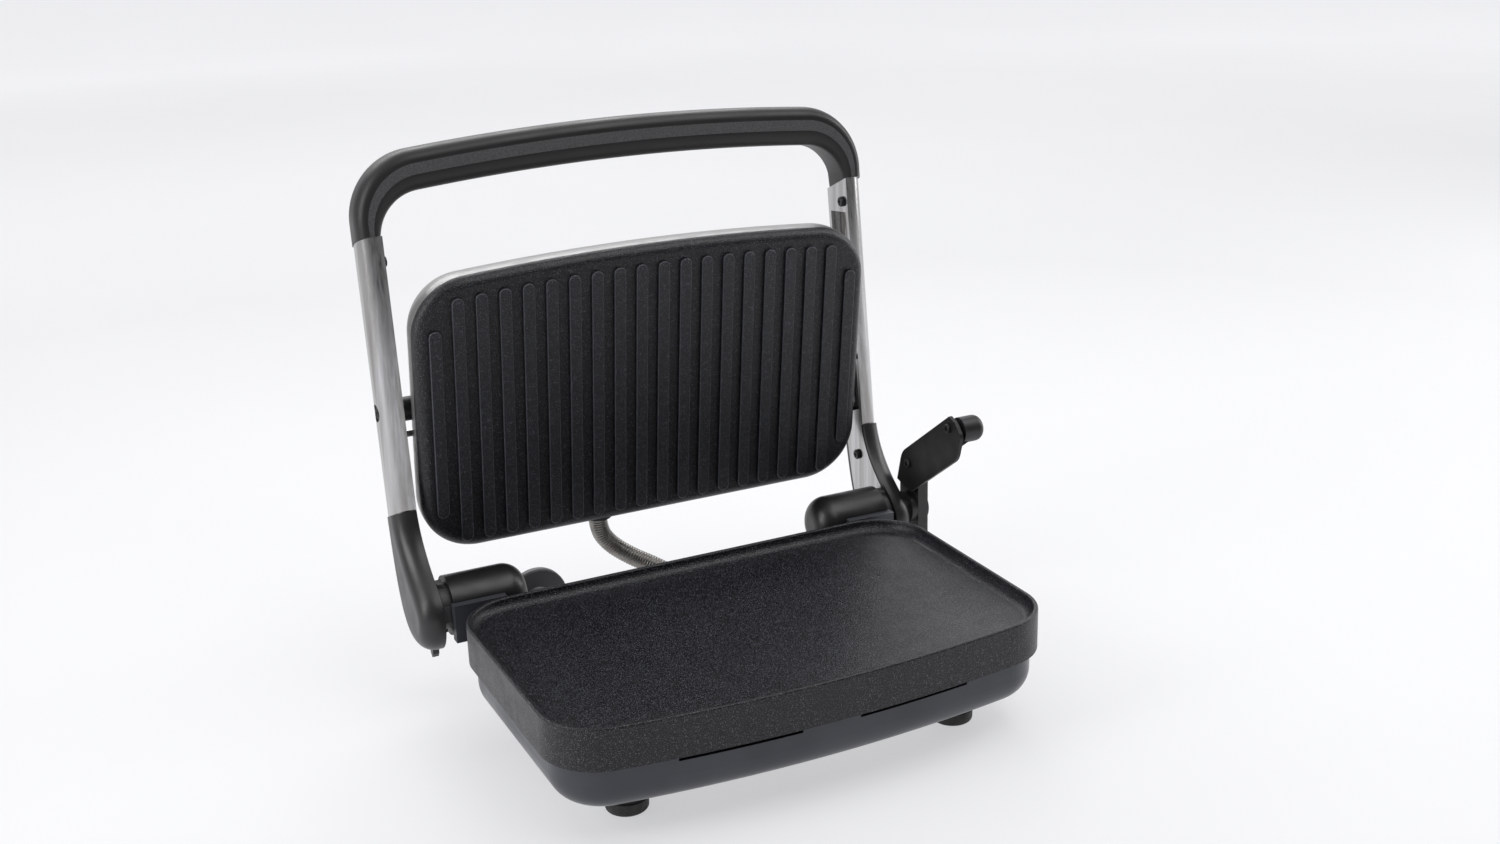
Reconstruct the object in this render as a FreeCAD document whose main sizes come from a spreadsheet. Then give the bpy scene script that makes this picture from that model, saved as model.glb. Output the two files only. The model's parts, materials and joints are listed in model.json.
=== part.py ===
"""Electric panini press, open: ribbed lid on two lifting arms over a flat tray, all in millimetres.

Frame: +X to the right of a person in front of the press, +Y to the back, +Z up.  The origin is the centre of
the base pan's flat underside, on the plane of symmetry and under the middle of the lower plate.
"""
import FreeCAD
import Part
import Sketcher
import math
import os

V = FreeCAD.Vector
X_AXIS = V(1, 0, 0)
Y_AXIS = V(0, 1, 0)
Z_AXIS = V(0, 0, 1)

doc = FreeCAD.newDocument("PaniniPress")

# ---------------------------------------------------------------- driving dimensions

DIMENSIONS = [
    ("plate_half_width", 155.0, "lower plate, half of its width"),
    ("plate_back", 91.0, "lower plate, back edge behind the origin"),
    ("plate_front", 105.0, "lower plate, middle of its bowed front edge"),
    ("plate_bow", 860.0, "radius of the lower plate's bowed front"),
    ("plate_corner", 36.0, "corner radius of both plates"),
    ("rim_height", 60.0, "top of the lower plate's rim above the pan"),
    ("skirt_depth", 25.0, "height of the lower plate's skirt"),
    ("skirt_wall", 4.0, "wall of the skirt"),
    ("tray_depth", 7.0, "depth of the flat tray"),
    ("tray_blend", 6.0, "fillet between tray floor and rim"),
    ("rim_round", 1.2, "rounded top of the lower plate's rim"),
    ("deck_thick", 5.0, "thickness under the tray floor"),
    ("housing_inset", 4.0, "base housing inside the skirt's outline"),
    ("housing_wall", 2.6, "wall of the base housing"),
    ("housing_blend", 17.0, "lower edge of the base housing"),
    ("pan_low", 5.0, "underside of the base pan's sheet above its embossed disc"),
    ("pan_top", 8.0, "upper side of the base pan"),
    ("emboss_radius", 32.0, "flat embossed disc in the middle of the base pan"),
    ("foot_radius", 12.8, "rubber foot"),
    ("foot_height", 13.0, "tread of a rubber foot below the origin"),
    ("foot_round", 3.0, "rounded edge of a rubber foot"),
    ("foot_side", 105.4, "feet, half their spacing in X"),
    ("foot_front", 55.9, "front feet, distance in front of the origin"),
    ("foot_back", 60.0, "rear feet, distance behind the origin"),
    ("hinge_back", 113.7, "main hinge axis behind the origin"),
    ("hinge_height", 51.7, "main hinge axis above the pan"),
    ("barrel_radius", 18.6, "hinge barrel"),
    ("barrel_inner", 101.0, "domed inner end of a hinge barrel"),
    ("barrel_outer", 151.0, "outer end of a hinge barrel"),
    ("ear_outer", 152.4, "outer side of a bracket ear"),
    ("ear_inner", 119.0, "inner side of a bracket ear"),
    ("ear_thick", 24.0, "height of a bracket ear"),
    ("axle_radius", 5.0, "hinge axle"),
    ("running_gap", 0.05, "radial clearance of every pin in its bore"),
    ("arm_inner", 157.0, "inner face of an arm"),
    ("arm_thick", 14.0, "arm across"),
    ("arm_front", 20.4, "front edge of an arm behind the hinge axis"),
    ("arm_depth", 26.8, "arm from front edge to back edge"),
    ("arm_blend", 11.5, "rounded outer edges of an arm"),
    ("arm_wall", 3.0, "wall of the cast arm"),
    ("arm_foot", 53.0, "where the bare arm leaves its lower cover"),
    ("arm_top", 222.0, "where the bare arm enters the grip"),
    ("joint_slope", 17.0, "slope of both joint lines, degrees"),
    ("arm_lean", 6.8, "arms leaning back when open, degrees"),
    ("grip_top", 281.0, "top of the grip bar above the hinge axis"),
    ("grip_height", 25.0, "grip bar"),
    ("grip_bow", 1480.0, "radius of the bowed grip bar"),
    ("grip_corner", 42.0, "outer corner radius of the grip"),
    ("pivot_up", 118.2, "lid pivot along the arm from the hinge axis"),
    ("pivot_radius", 4.0, "lid pivot pin"),
    ("sleeve_radius", 7.5, "lid pivot sleeve"),
    ("lid_lean", 7.4, "lid leaning forward when open, degrees"),
    ("lid_half_width", 152.4, "lid, half of its width"),
    ("lid_back", 91.2, "lid, back edge behind its pivot"),
    ("lid_front", 93.6, "lid, middle of its bowed front edge"),
    ("lid_bow", 1500.0, "radius of the lid's bowed front"),
    ("rib_plane", 29.0, "tops of the ribs below the lid pivot"),
    ("rib_height", 2.4, "ribs above the plate"),
    ("rib_width", 7.6, "one rib"),
    ("rib_pitch", 14.75, "rib spacing"),
    ("rib_round", 0.6, "rounded edge of a rib"),
    ("upper_blend", 6.5, "rounded edge of the ribbed plate"),
    ("upper_skirt", 9.5, "depth of the ribbed plate's side"),
    ("cover_height", 46.0, "top of the lid cover above the rib tops"),
    ("cover_blend", 33.0, "rounded top edge of the lid cover"),
    ("cover_wall", 1.8, "lid cover"),
    ("lever_start", 174.0, "inner face of the lever"),
    ("lever_end", 187.0, "outer face of the lever's turning block"),
    ("lever_knob_end", 195.0, "end of the lever's knob"),
    ("lever_rise", 35.4, "lever above the horizontal, degrees"),
    ("conduit_radius", 6.2, "flexible steel conduit"),
]

sheet = doc.addObject("Spreadsheet::Sheet", "Dimensions")
for line, (alias, value, note) in enumerate(DIMENSIONS, start=1):
    sheet.set("A%d" % line, note)
    sheet.set("B%d" % line, repr(value))
    sheet.setAlias("B%d" % line, alias)
doc.recompute()


def dim(alias):
    """The value of one cell of the sheet."""
    return float(sheet.get(alias))


def cell(alias):
    """The expression that reads one cell of the sheet."""
    return "Dimensions." + alias


SIDES = (("left", -1), ("right", 1))
parts = {}

# ---------------------------------------------------------------- frames that the moving bodies are drawn in

hinge = V(0, dim("hinge_back"), dim("hinge_height"))
ARM = FreeCAD.Placement(hinge, FreeCAD.Rotation(X_AXIS, -dim("arm_lean")))
arm_middle = dim("arm_front") + dim("arm_depth") / 2
pivot = ARM.multVec(V(0, arm_middle, dim("pivot_up")))
LID = FreeCAD.Placement(pivot, FreeCAD.Rotation(X_AXIS, dim("lid_lean") - 90))
LEVER = FreeCAD.Placement(hinge, FreeCAD.Rotation(X_AXIS, 90 - dim("lever_rise")))
HERE = FreeCAD.Placement()

# ---------------------------------------------------------------- helpers


def keep(name, thing, placement=HERE):
    """Register a document object as the part of that name and put it in its place."""
    thing.Label = name
    thing.Placement = placement
    parts[name] = thing
    return thing


def keep_shape(name, shape, placement=HERE):
    """A part whose shape is computed here, for forms that no sketch feature makes."""
    thing = doc.addObject("Part::Feature", name)
    thing.Shape = shape.removeSplitter()
    return keep(name, thing, placement)


def new_body(name):
    return doc.addObject("PartDesign::Body", name)


def origin_plane(body, role):
    for feature in body.Origin.OriginFeatures:
        if feature.Role == role:
            return feature
    raise ValueError(role)


def sketch(body, name, role, offset, edges):
    """A sketch on one of the body's origin planes, lifted by offset along that plane's normal."""
    drawing = body.newObject("Sketcher::SketchObject", name)
    drawing.AttachmentSupport = (origin_plane(body, role), [""])
    drawing.MapMode = "FlatFace"
    drawing.AttachmentOffset = FreeCAD.Placement(V(0, 0, offset), FreeCAD.Rotation())
    for edge in edges:
        drawing.addGeometry(edge, False)
    return drawing


def circle_sketch(body, name, role, offset, centre, alias):
    """A sketch with one circle whose radius is bound to the sheet."""
    ring = Part.Circle(V(centre[0], centre[1], 0), Z_AXIS, dim(alias))
    drawing = sketch(body, name, role, offset, [ring])
    index = drawing.addConstraint(Sketcher.Constraint("Radius", 0, dim(alias)))
    drawing.setExpression("Constraints[%d]" % index, cell(alias))
    return drawing


def pad(body, name, profile, length, both_ways=False, backwards=False):
    feature = body.newObject("PartDesign::Pad", name)
    feature.Profile = profile
    feature.Midplane = both_ways
    feature.Reversed = backwards
    feature.setExpression("Length", length)
    doc.recompute()
    return feature


def pocket(body, name, profile, length, backwards=False):
    before = body.Shape.Volume
    feature = body.newObject("PartDesign::Pocket", name)
    feature.Profile = profile
    feature.Reversed = backwards
    feature.setExpression("Length", length)
    doc.recompute()
    if not body.Shape.Volume < before:
        raise RuntimeError(name + " removes nothing")
    return feature


def fillet(body, name, wanted, radius):
    """Round those edges of the body's last feature for which wanted(edge) is true."""
    base = body.Tip
    names = ["Edge%d" % (i + 1) for i, edge in enumerate(base.Shape.Edges) if wanted(edge)]
    if not names:
        raise RuntimeError(name + " finds no edges")
    feature = body.newObject("PartDesign::Fillet", name)
    feature.Base = (base, names)
    feature.setExpression("Radius", radius)
    doc.recompute()
    return feature


def upright(edge):
    """True for a straight edge along Z."""
    return (edge.Curve.TypeId == "Part::GeomLine"
            and abs(edge.Curve.Direction.z) > 0.999)


def at_height(z):
    """True for an edge that lies at height z."""
    return lambda edge: abs(edge.BoundBox.ZMin - z) < 0.01 and abs(edge.BoundBox.ZMax - z) < 0.01


def plate_outline(outline, inset=0.0):
    """The rounded outline of a plate, its front edge bowed outwards, drawn in all round by inset."""
    half, back, front, bow, corner = (value - inset for value in outline)
    bow_centre = V(0, bow - front, 0)
    side = half - corner
    rear = back - corner
    fore = bow_centre.y - math.sqrt((bow - corner) ** 2 - side ** 2)
    diagonal = corner * math.sqrt(0.5)
    edges = [Part.LineSegment(V(side, back, 0), V(-side, back, 0))]
    for sign in (-1, 1):
        centre = V(sign * side, fore, 0)
        touch = bow_centre + (centre - bow_centre).normalize() * bow
        middle = centre + (V(sign, 0, 0) + (touch - centre).normalize()).normalize() * corner
        edges.append(Part.Arc(V(sign * side, back, 0),
                              V(sign * (side + diagonal), rear + diagonal, 0), V(sign * half, rear, 0)))
        edges.append(Part.LineSegment(V(sign * half, rear, 0), V(sign * half, fore, 0)))
        edges.append(Part.Arc(V(sign * half, fore, 0), middle, touch))
    edges.append(Part.Arc(V(-touch.x, touch.y, 0), V(0, -front, 0), touch))
    return edges


def plate_prism(outline, inset, low, high):
    """A solid of a plate's rounded outline, drawn in by inset, from height low to high."""
    wire = Part.Wire(Part.__sortEdges__([edge.toShape() for edge in plate_outline(outline, inset)]))
    prism = Part.Face(wire).extrude(V(0, 0, high - low))
    prism.translate(V(0, 0, low))
    return prism


def cylinder_x(radius, start, end, y=0.0, z=0.0):
    return Part.makeCylinder(radius, end - start, V(start, y, z), X_AXIS)


def cylinder_z(radius, low, high, x, y):
    return Part.makeCylinder(radius, high - low, V(x, y, low), Z_AXIS)


def block(x, y, z):
    """A box given by its (low, high) span along each axis."""
    return Part.makeBox(x[1] - x[0], y[1] - y[0], z[1] - z[0], V(x[0], y[0], z[0]))


def span(first, second):
    return (min(first, second), max(first, second))


def mirror(shape, side):
    """The shape itself on the right, its mirror image on the left."""
    if side > 0:
        return shape
    return shape.mirror(V(0, 0, 0), X_AXIS)


def screw(radius, length, slot):
    """A pan-head screw, head up, its head's underside at the origin."""
    head = Part.makeCylinder(radius * 1.9, radius * 1.2)
    head = head.makeFillet(radius * 0.6, [edge for edge in head.Edges if edge.BoundBox.ZMin > radius])
    shank = Part.makeCylinder(radius, length, V(0, 0, -length), Z_AXIS)
    cross = Part.makeBox(slot, slot * 0.25, radius, V(-slot / 2, -slot * 0.125, radius * 0.7))
    cross = cross.fuse(cross.rotated(V(0, 0, 0), Z_AXIS, 90))
    return head.fuse(shank).cut(cross)


def placed(shape, point, axis):
    """The shape with its +Z turned to axis and moved to point."""
    copy = shape.copy()
    copy.Placement = FreeCAD.Placement(point, FreeCAD.Rotation(Z_AXIS, axis))
    return copy


def tube(points, radius, bend):
    """A round rod along straight runs joined by tangent arcs of one radius."""
    edges = []
    start = points[0]
    for before, corner, after in zip(points, points[1:], points[2:]):
        inward = (before - corner).normalize()
        outward = (after - corner).normalize()
        turn = math.pi - inward.getAngle(outward)
        cut = bend * math.tan(turn / 2)
        bisector = (inward + outward).normalize()
        first, last = corner + inward * cut, corner + outward * cut
        middle = corner + bisector * (bend / math.cos(turn / 2) - bend)
        edges.append(Part.LineSegment(start, first).toShape())
        edges.append(Part.Arc(first, middle, last).toShape())
        start = last
    edges.append(Part.LineSegment(start, points[-1]).toShape())
    path = Part.Wire(edges)
    section = Part.Wire([Part.Circle(points[0], points[1] - points[0], radius).toShape()])
    return path.makePipeShell([section], True, False)


def joint_cutter(height, keep_below):
    """Everything above, or below, the sloping joint line that crosses an arm's middle at height."""
    size = 400.0
    low = 0.0 if keep_below else -size
    cutter = Part.makeBox(2 * size, size, size, V(-size, -size / 2, low))
    cutter.rotate(V(0, 0, 0), X_AXIS, -dim("joint_slope"))
    cutter.translate(V(0, arm_middle, height))
    return cutter


def round_edges(shape, radius, wanted):
    return shape.makeFillet(radius, [edge for edge in shape.Edges if wanted(edge)])


# ---------------------------------------------------------------- lower plate

lower_outline = tuple(dim(alias) for alias in (
    "plate_half_width", "plate_back", "plate_front", "plate_bow", "plate_corner"))
skirt_bottom = dim("rim_height") - dim("skirt_depth")
tray_floor = dim("rim_height") - dim("tray_depth")
deck_bottom = tray_floor - dim("deck_thick")
RIM_WIDTH = 3.0

lower = new_body("lower_plate")
profile = sketch(lower, "skirt_outline", "XY_Plane", skirt_bottom, plate_outline(lower_outline))
pad(lower, "skirt_block", profile, cell("skirt_depth"))
tray_edges = plate_outline(lower_outline, RIM_WIDTH)
profile = sketch(lower, "tray_outline", "XY_Plane", dim("rim_height"), tray_edges)
pocket(lower, "tray", profile, cell("tray_depth"))
fillet(lower, "tray_blend", at_height(tray_floor), cell("tray_blend"))
fillet(lower, "rim_edge", at_height(dim("rim_height")), cell("rim_round"))
profile = sketch(lower, "hollow_outline", "XY_Plane", skirt_bottom,
                 plate_outline(lower_outline, dim("skirt_wall")))
pocket(lower, "hollow", profile, "%s - %s - %s" % (
    cell("skirt_depth"), cell("tray_depth"), cell("deck_thick")), backwards=True)
keep("lower_plate", lower)

# ---------------------------------------------------------------- base housing, pan and feet

INNER_GAP = 0.4
DECK_GAP = 1.0
housing_high = deck_bottom - DECK_GAP
inset = dim("housing_inset") + INNER_GAP
outer = plate_prism(lower_outline, inset, dim("pan_low"), housing_high)
outer = round_edges(outer, dim("housing_blend"), at_height(dim("pan_low")))
inner = plate_prism(lower_outline, inset + dim("housing_wall"), dim("pan_top"), housing_high + 1)
inner = round_edges(inner, dim("housing_blend") - dim("housing_wall"), at_height(dim("pan_top")))
PAN_EDGE = dim("housing_blend") + 2
pan_hole = plate_prism(lower_outline, inset + PAN_EDGE, -1.0, 10.0)
housing = outer.cut(inner)

# Flat lands behind the rounded lower edge carry the conduit's gland and the mains inlet.
LAND = 12.0
GLAND_X, GLAND_Z, GLAND_HOLE = 18.0, 23.0, 8.0
INLET_X, INLET_Z, INLET_HOLE = 60.0, 23.0, 7.0
wall_back = dim("plate_back") - inset
for x in (GLAND_X, INLET_X):
    land = block((x - LAND, x + LAND), (wall_back - 8.0, wall_back), (GLAND_Z - LAND, GLAND_Z + LAND - 0.5))
    housing = housing.fuse(land)
housing = housing.cut(pan_hole)

# Two long vents run under the skirt at the front, either side of the middle.
VENT_IN, VENT_OUT = 18.0, 90.0
VENT_DEPTH = (-130.0, -60.0)
VENT_HEIGHT = (skirt_bottom - 4.2, skirt_bottom + 1.5)
for side in (-1, 1):
    mouth = block(span(side * VENT_IN, side * VENT_OUT), VENT_DEPTH, VENT_HEIGHT)
    housing = housing.cut(mouth)

# The bracket ears carry the hinge barrels behind the base; the rear wall has holes for the leads.
EAR_TOP = 59.6
EAR_BACK = 98.0
EAR_ROOT = 132.0
WEB_TOP = skirt_bottom - 0.4
WEB_THICK_BELOW = 11.0
LUG_BELOW, LUG_ABOVE, LUG_BEHIND = 8.0, 7.0, 8.0
LUG_BACK = dim("hinge_back") + LUG_BEHIND
LUGS = ((dim("ear_inner"), dim("ear_inner") + 6.0), (dim("barrel_outer") - 7.0, dim("barrel_outer") - 2.9))
ear_height = (EAR_TOP - dim("ear_thick"), EAR_TOP)
ear_face = dim("plate_back") + 0.4
for side in (-1, 1):
    ear = block(span(side * dim("ear_inner"), side * dim("ear_outer")), (ear_face, EAR_BACK), ear_height)
    web = block(span(side * dim("ear_inner"), side * EAR_ROOT), (dim("plate_back") - 12.0, EAR_BACK),
                (WEB_TOP - WEB_THICK_BELOW, WEB_TOP))
    riser = block(span(side * dim("ear_inner"), side * EAR_ROOT), (ear_face, EAR_BACK),
                  (WEB_TOP - 1, EAR_TOP))
    housing = housing.fuse(ear).fuse(web).fuse(riser)
    for lug_span in LUGS:
        lug = block(span(side * lug_span[0], side * lug_span[1]), (EAR_BACK - 1, LUG_BACK),
                    (dim("hinge_height") - LUG_BELOW, dim("hinge_height") + LUG_ABOVE))
        housing = housing.fuse(lug)
    bore = cylinder_x(dim("axle_radius") + 0.02, 100.0, 160.0, hinge.y, hinge.z)
    housing = housing.cut(mirror(bore, side))
for x, z, radius in ((GLAND_X, GLAND_Z, GLAND_HOLE), (INLET_X, INLET_Z, INLET_HOLE)):
    housing = housing.cut(Part.makeCylinder(radius, 30.0, V(x, dim("plate_back") - 20, z), Y_AXIS))
keep_shape("base_housing", housing)

pan = new_body("base_pan")
PAN_PLAY = 0.3
pan_edges = plate_outline(lower_outline, inset + PAN_EDGE + PAN_PLAY)
profile = sketch(pan, "pan_outline", "XY_Plane", dim("pan_low"), pan_edges)
pad(pan, "pan_sheet", profile, "%s - %s" % (cell("pan_top"), cell("pan_low")))
profile = circle_sketch(pan, "emboss_circle", "XY_Plane", 0.0, (0, 0), "emboss_radius")
pad(pan, "pan_emboss", profile, cell("pan_top"))
keep("base_pan", pan)

FEET = (("foot_front_left", -1, -dim("foot_front")), ("foot_front_right", 1, -dim("foot_front")),
        ("foot_rear_left", -1, dim("foot_back")), ("foot_rear_right", 1, dim("foot_back")))
for name, side, y in FEET:
    foot = new_body(name)
    profile = circle_sketch(foot, name + "_circle", "XY_Plane", dim("pan_low") - 0.02, (0, 0), "foot_radius")
    foot_length = "%s + %s - 0.02" % (cell("foot_height"), cell("pan_low"))
    pad(foot, name + "_pad", profile, foot_length, backwards=True)
    fillet(foot, name + "_edge", at_height(-dim("foot_height")), cell("foot_round"))
    keep(name, foot, FreeCAD.Placement(V(side * dim("foot_side"), y, 0), FreeCAD.Rotation()))

PAN_SCREW_RADIUS, PAN_SCREW_LENGTH, PAN_SCREW_SLOT = 2.0, 1.4, 4.5
DOWN = V(0, 0, -1)
PAN_SCREWS = ((-60, -70), (60, -70), (-60, 60), (60, 60), (0, -70))
drilling = [Part.Circle(V(x, y, 0), Z_AXIS, PAN_SCREW_RADIUS + 0.05) for x, y in PAN_SCREWS]
profile = sketch(pan, "pan_holes", "XY_Plane", 0.0, drilling)
pocket(pan, "pan_drilling", profile, cell("pan_top") + " + 1", backwards=True)
pan_screw = screw(PAN_SCREW_RADIUS, PAN_SCREW_LENGTH, PAN_SCREW_SLOT)
pan_screws = [placed(pan_screw, V(x, y, dim("pan_low") - 0.05), DOWN) for x, y in PAN_SCREWS]
keep_shape("pan_screws", Part.makeCompound(pan_screws))

# ---------------------------------------------------------------- inside the base

ELEMENT_RADIUS = 4.0
ELEMENT_BEND = 15.0
ELEMENT_RETURN, ELEMENT_TAIL = 36.0, 6.0
REFLECTOR_DROP, REFLECTOR_THICK = 8.0, 0.8
LEAD_HOLE = 6.0
CONTACT_GAP = 0.05
ELEMENT_SIDE, ELEMENT_FRONT, ELEMENT_END = 108.0, -66.0, 62.0
LEAD_GAP = 30.0


def heater(z):
    """A tubular element bent into a long loop, its two cold ends side by side at the back."""
    tail, turn = ELEMENT_END + ELEMENT_TAIL, ELEMENT_END - ELEMENT_RETURN
    left_half = [V(-LEAD_GAP, tail, z), V(-LEAD_GAP, turn, z), V(-ELEMENT_SIDE, turn, z),
                 V(-ELEMENT_SIDE, ELEMENT_FRONT, z)]
    right_half = [V(-point.x, point.y, z) for point in reversed(left_half)]
    return tube(left_half + right_half, ELEMENT_RADIUS, ELEMENT_BEND)


element_z = deck_bottom - ELEMENT_RADIUS - CONTACT_GAP
keep_shape("lower_element", heater(element_z))

reflector_low = element_z - REFLECTOR_DROP
reflector = plate_prism(lower_outline, 16.0, reflector_low, reflector_low + REFLECTOR_THICK)
for side in (-1, 1):
    lead_hole = cylinder_z(LEAD_HOLE, element_z - 10, element_z, side * LEAD_GAP, ELEMENT_END - 4)
    reflector = reflector.cut(lead_hole)
keep_shape("lower_reflector", reflector)

THERMOSTAT_RADIUS, THERMOSTAT_HIGH = 8.0, 6.5


def thermostat(low, flange_low):
    """A thermostat can with two fixing ears on its contact face, from height low upwards."""
    can = cylinder_z(THERMOSTAT_RADIUS, low, low + THERMOSTAT_HIGH - CONTACT_GAP, 0, 0)
    return can.fuse(block((-12, 12), (-3, 3), (flange_low, flange_low + 1.0)))


keep_shape("lower_thermostat", thermostat(deck_bottom - THERMOSTAT_HIGH, deck_bottom - 1.3))

TERMINAL_PITCH, TERMINAL_SCREW, TERMINAL_Y = 14.0, 3.2, 57.0
terminal_low = dim("pan_top") + 0.02
terminal = block((-22, 22), (TERMINAL_Y - 9, TERMINAL_Y + 9), (terminal_low, terminal_low + 15))
for x in (-TERMINAL_PITCH, 0.0, TERMINAL_PITCH):
    terminal = terminal.cut(cylinder_z(TERMINAL_SCREW, terminal_low + 7, 30.0, x, TERMINAL_Y))
keep_shape("terminal_block", terminal)


FLANGE_THICK, FLANGE_WIDTH = 4.0, 2.5
MAINS_BORE = 3.6


def gland(bore, body_radius):
    """A threaded bush whose flange sits outside a wall, drawn along +Y with the wall's outside at zero."""
    bush = Part.makeCylinder(body_radius - 0.3, 6.0, V(0, -5.0, 0), Y_AXIS)
    flange = Part.makeCylinder(body_radius + FLANGE_WIDTH, FLANGE_THICK, V(0, CONTACT_GAP, 0), Y_AXIS)
    flange = round_edges(flange, 1.0, lambda edge: edge.BoundBox.YMin > FLANGE_THICK - 0.1)
    return bush.fuse(flange).cut(Part.makeCylinder(bore, 12.0, V(0, -6, 0), Y_AXIS))


conduit_bore = dim("conduit_radius") + CONTACT_GAP
keep_shape("conduit_gland_lower", gland(conduit_bore, GLAND_HOLE),
           FreeCAD.Placement(V(GLAND_X, wall_back, GLAND_Z), FreeCAD.Rotation()))
keep_shape("mains_inlet", gland(MAINS_BORE, INLET_HOLE),
           FreeCAD.Placement(V(INLET_X, wall_back, INLET_Z), FreeCAD.Rotation()))

# One bobbin behind the base takes the wound lead for storage.
BOBBIN_X, BOBBIN_Z, BOBBIN_BACK = -82.0, 28.5, 150.0
BOBBIN_RADIUS, BOBBIN_DISC, STEM_RADIUS, STEM_DROP = 20.0, 6.0, 6.5, 0.5
stem_length = BOBBIN_BACK - wall_back - BOBBIN_DISC + 2.0
stem = Part.makeCylinder(STEM_RADIUS, stem_length, V(0, wall_back + CONTACT_GAP, -STEM_DROP), Y_AXIS)
disc = Part.makeCylinder(BOBBIN_RADIUS, BOBBIN_DISC, V(0, BOBBIN_BACK - BOBBIN_DISC, 0), Y_AXIS)
disc = round_edges(disc, 1.8, lambda edge: edge.BoundBox.YLength < 0.01)
keep_shape("lead_bobbin", disc.fuse(stem), FreeCAD.Placement(V(BOBBIN_X, 0, BOBBIN_Z), FreeCAD.Rotation()))

# ---------------------------------------------------------------- hinge barrels, springs and axles

BARREL_WALL = 2.4
NOTCH_GAP = 0.4
for name, side in SIDES:
    radius = dim("barrel_radius")
    shell = cylinder_x(radius, dim("barrel_inner"), dim("barrel_outer"))
    shell = shell.makeFillet(radius * 0.72, [edge for edge in shell.Edges
                                             if edge.BoundBox.XMax < dim("barrel_inner") + 0.01])
    bore = cylinder_x(radius - BARREL_WALL, dim("barrel_inner") + 16, dim("barrel_outer") - 2.5)
    axle_hole = cylinder_x(dim("axle_radius") + 0.3, dim("barrel_outer") - 5, dim("barrel_outer") + 1)
    shell = shell.cut(bore).cut(axle_hole)
    shell = mirror(shell, side)
    shell.translate(hinge)
    ear_space = block(span(side * (dim("ear_inner") - NOTCH_GAP), side * (dim("barrel_outer") + 1)),
                      (dim("plate_back"), EAR_BACK + NOTCH_GAP), (0.0, EAR_TOP + NOTCH_GAP))
    lug_space = block(span(side * (dim("ear_inner") - NOTCH_GAP), side * (dim("barrel_outer") + 1)),
                      (dim("plate_back"), EAR_BACK + 4.0),
                     (hinge.z - LUG_BELOW - NOTCH_GAP, hinge.z + LUG_ABOVE + NOTCH_GAP))
    shell = shell.cut(ear_space).cut(lug_space)
    keep_shape("hinge_barrel_" + name, shell)

# Torsion springs inside the barrels balance the lid; each winds round its axle.
SPRING_PITCH, SPRING_TURNS, SPRING_RADIUS, SPRING_WIRE = 2.6, 5, 8.5, 1.0
COLLAR_RADIUS = 14.0
AXLE_INNER = 17.0
for name, side in SIDES:
    helix = Part.makeHelix(SPRING_PITCH, SPRING_PITCH * SPRING_TURNS, SPRING_RADIUS)
    wire_circle = Part.Circle(V(SPRING_RADIUS, 0, 0), Y_AXIS, SPRING_WIRE).toShape()
    coil = Part.Wire(helix).makePipeShell([Part.Wire([wire_circle])], True, True)
    coil = placed(coil, hinge + V(side * (LUGS[0][1] + 1.6), 0, 0), V(side, 0, 0))
    keep_shape("hinge_spring_" + name, coil)

    reach = 164.0 if side < 0 else dim("lever_end") - 6.0
    axle = cylinder_x(dim("axle_radius"), dim("barrel_inner") + AXLE_INNER, reach)
    axle = mirror(axle, side)
    keep_shape("hinge_axle_" + name, axle, FreeCAD.Placement(hinge, FreeCAD.Rotation()))

    collar = cylinder_x(COLLAR_RADIUS, dim("barrel_outer") + 0.1, dim("arm_inner") - 0.4)
    for lug_y, lug_z in ((0.0, 11.0), (-11.0, 0.0), (0.0, -11.0)):
        collar = collar.fuse(block((dim("barrel_outer") + 1.6, dim("arm_inner") - 0.4),
                                   (lug_y - 4.0, lug_y + 4.0), (lug_z - 5.0, lug_z + 5.0)))
    collar = collar.cut(cylinder_x(dim("axle_radius") + 0.02, dim("barrel_outer") - 1, dim("arm_inner") + 1))
    keep_shape("hinge_collar_" + name, mirror(collar, side), FreeCAD.Placement(hinge, FreeCAD.Rotation()))

# ---------------------------------------------------------------- arms, drawn upright in the hinge's frame

front, back = dim("arm_front"), dim("arm_front") + dim("arm_depth")
arm_outer = dim("arm_inner") + dim("arm_thick")


def arm_bar(inner, grow, low, high):
    """The D-shaped bar of an arm: flat towards the lid, rounded outside."""
    bar = block((inner, arm_outer + grow), (front - grow, back + grow), (low, high))
    rounding = dim("arm_blend") + grow
    return round_edges(bar, rounding, lambda edge: upright(edge) and edge.BoundBox.XMin > arm_outer - 1)


SWELL = ((front, 80.0), (front, 70.0), (front, 60.0), (16.5, 41.0), (0.5, 20.5), (-15.5, 8.5), (-19.5, -5.5),
         (-13.0, -22.0), (5.0, -28.5), (25.0, -24.0), (39.0, -6.0), (44.5, 21.0), (back, 52.0), (back, 64.0),
         (back, 72.0), (back, 80.0))
SWELL_STEPS = 40


def lower_end(grow, inner, outer_face):
    """The swollen lower end of an arm, from the bar's front edge round the hinge to its back edge."""
    curve = Part.BSplineCurve()
    curve.buildFromPoles([V(0, y, z) for y, z in SWELL], False, 3)
    outset = []
    for step in range(SWELL_STEPS + 1):
        parameter = curve.FirstParameter + (curve.LastParameter - curve.FirstParameter) * step / SWELL_STEPS
        along = curve.tangent(parameter)[0]
        outset.append(curve.value(parameter) + V(0, along.z, -along.y) * grow)
    curve = Part.BSplineCurve()
    curve.interpolate(outset)
    outline = Part.Wire([curve.toShape(), Part.LineSegment(outset[-1], outset[0]).toShape()])
    face = Part.Face(outline)
    face.translate(V(inner, 0, 0))
    return face.extrude(V(outer_face - inner, 0, 0))


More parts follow.
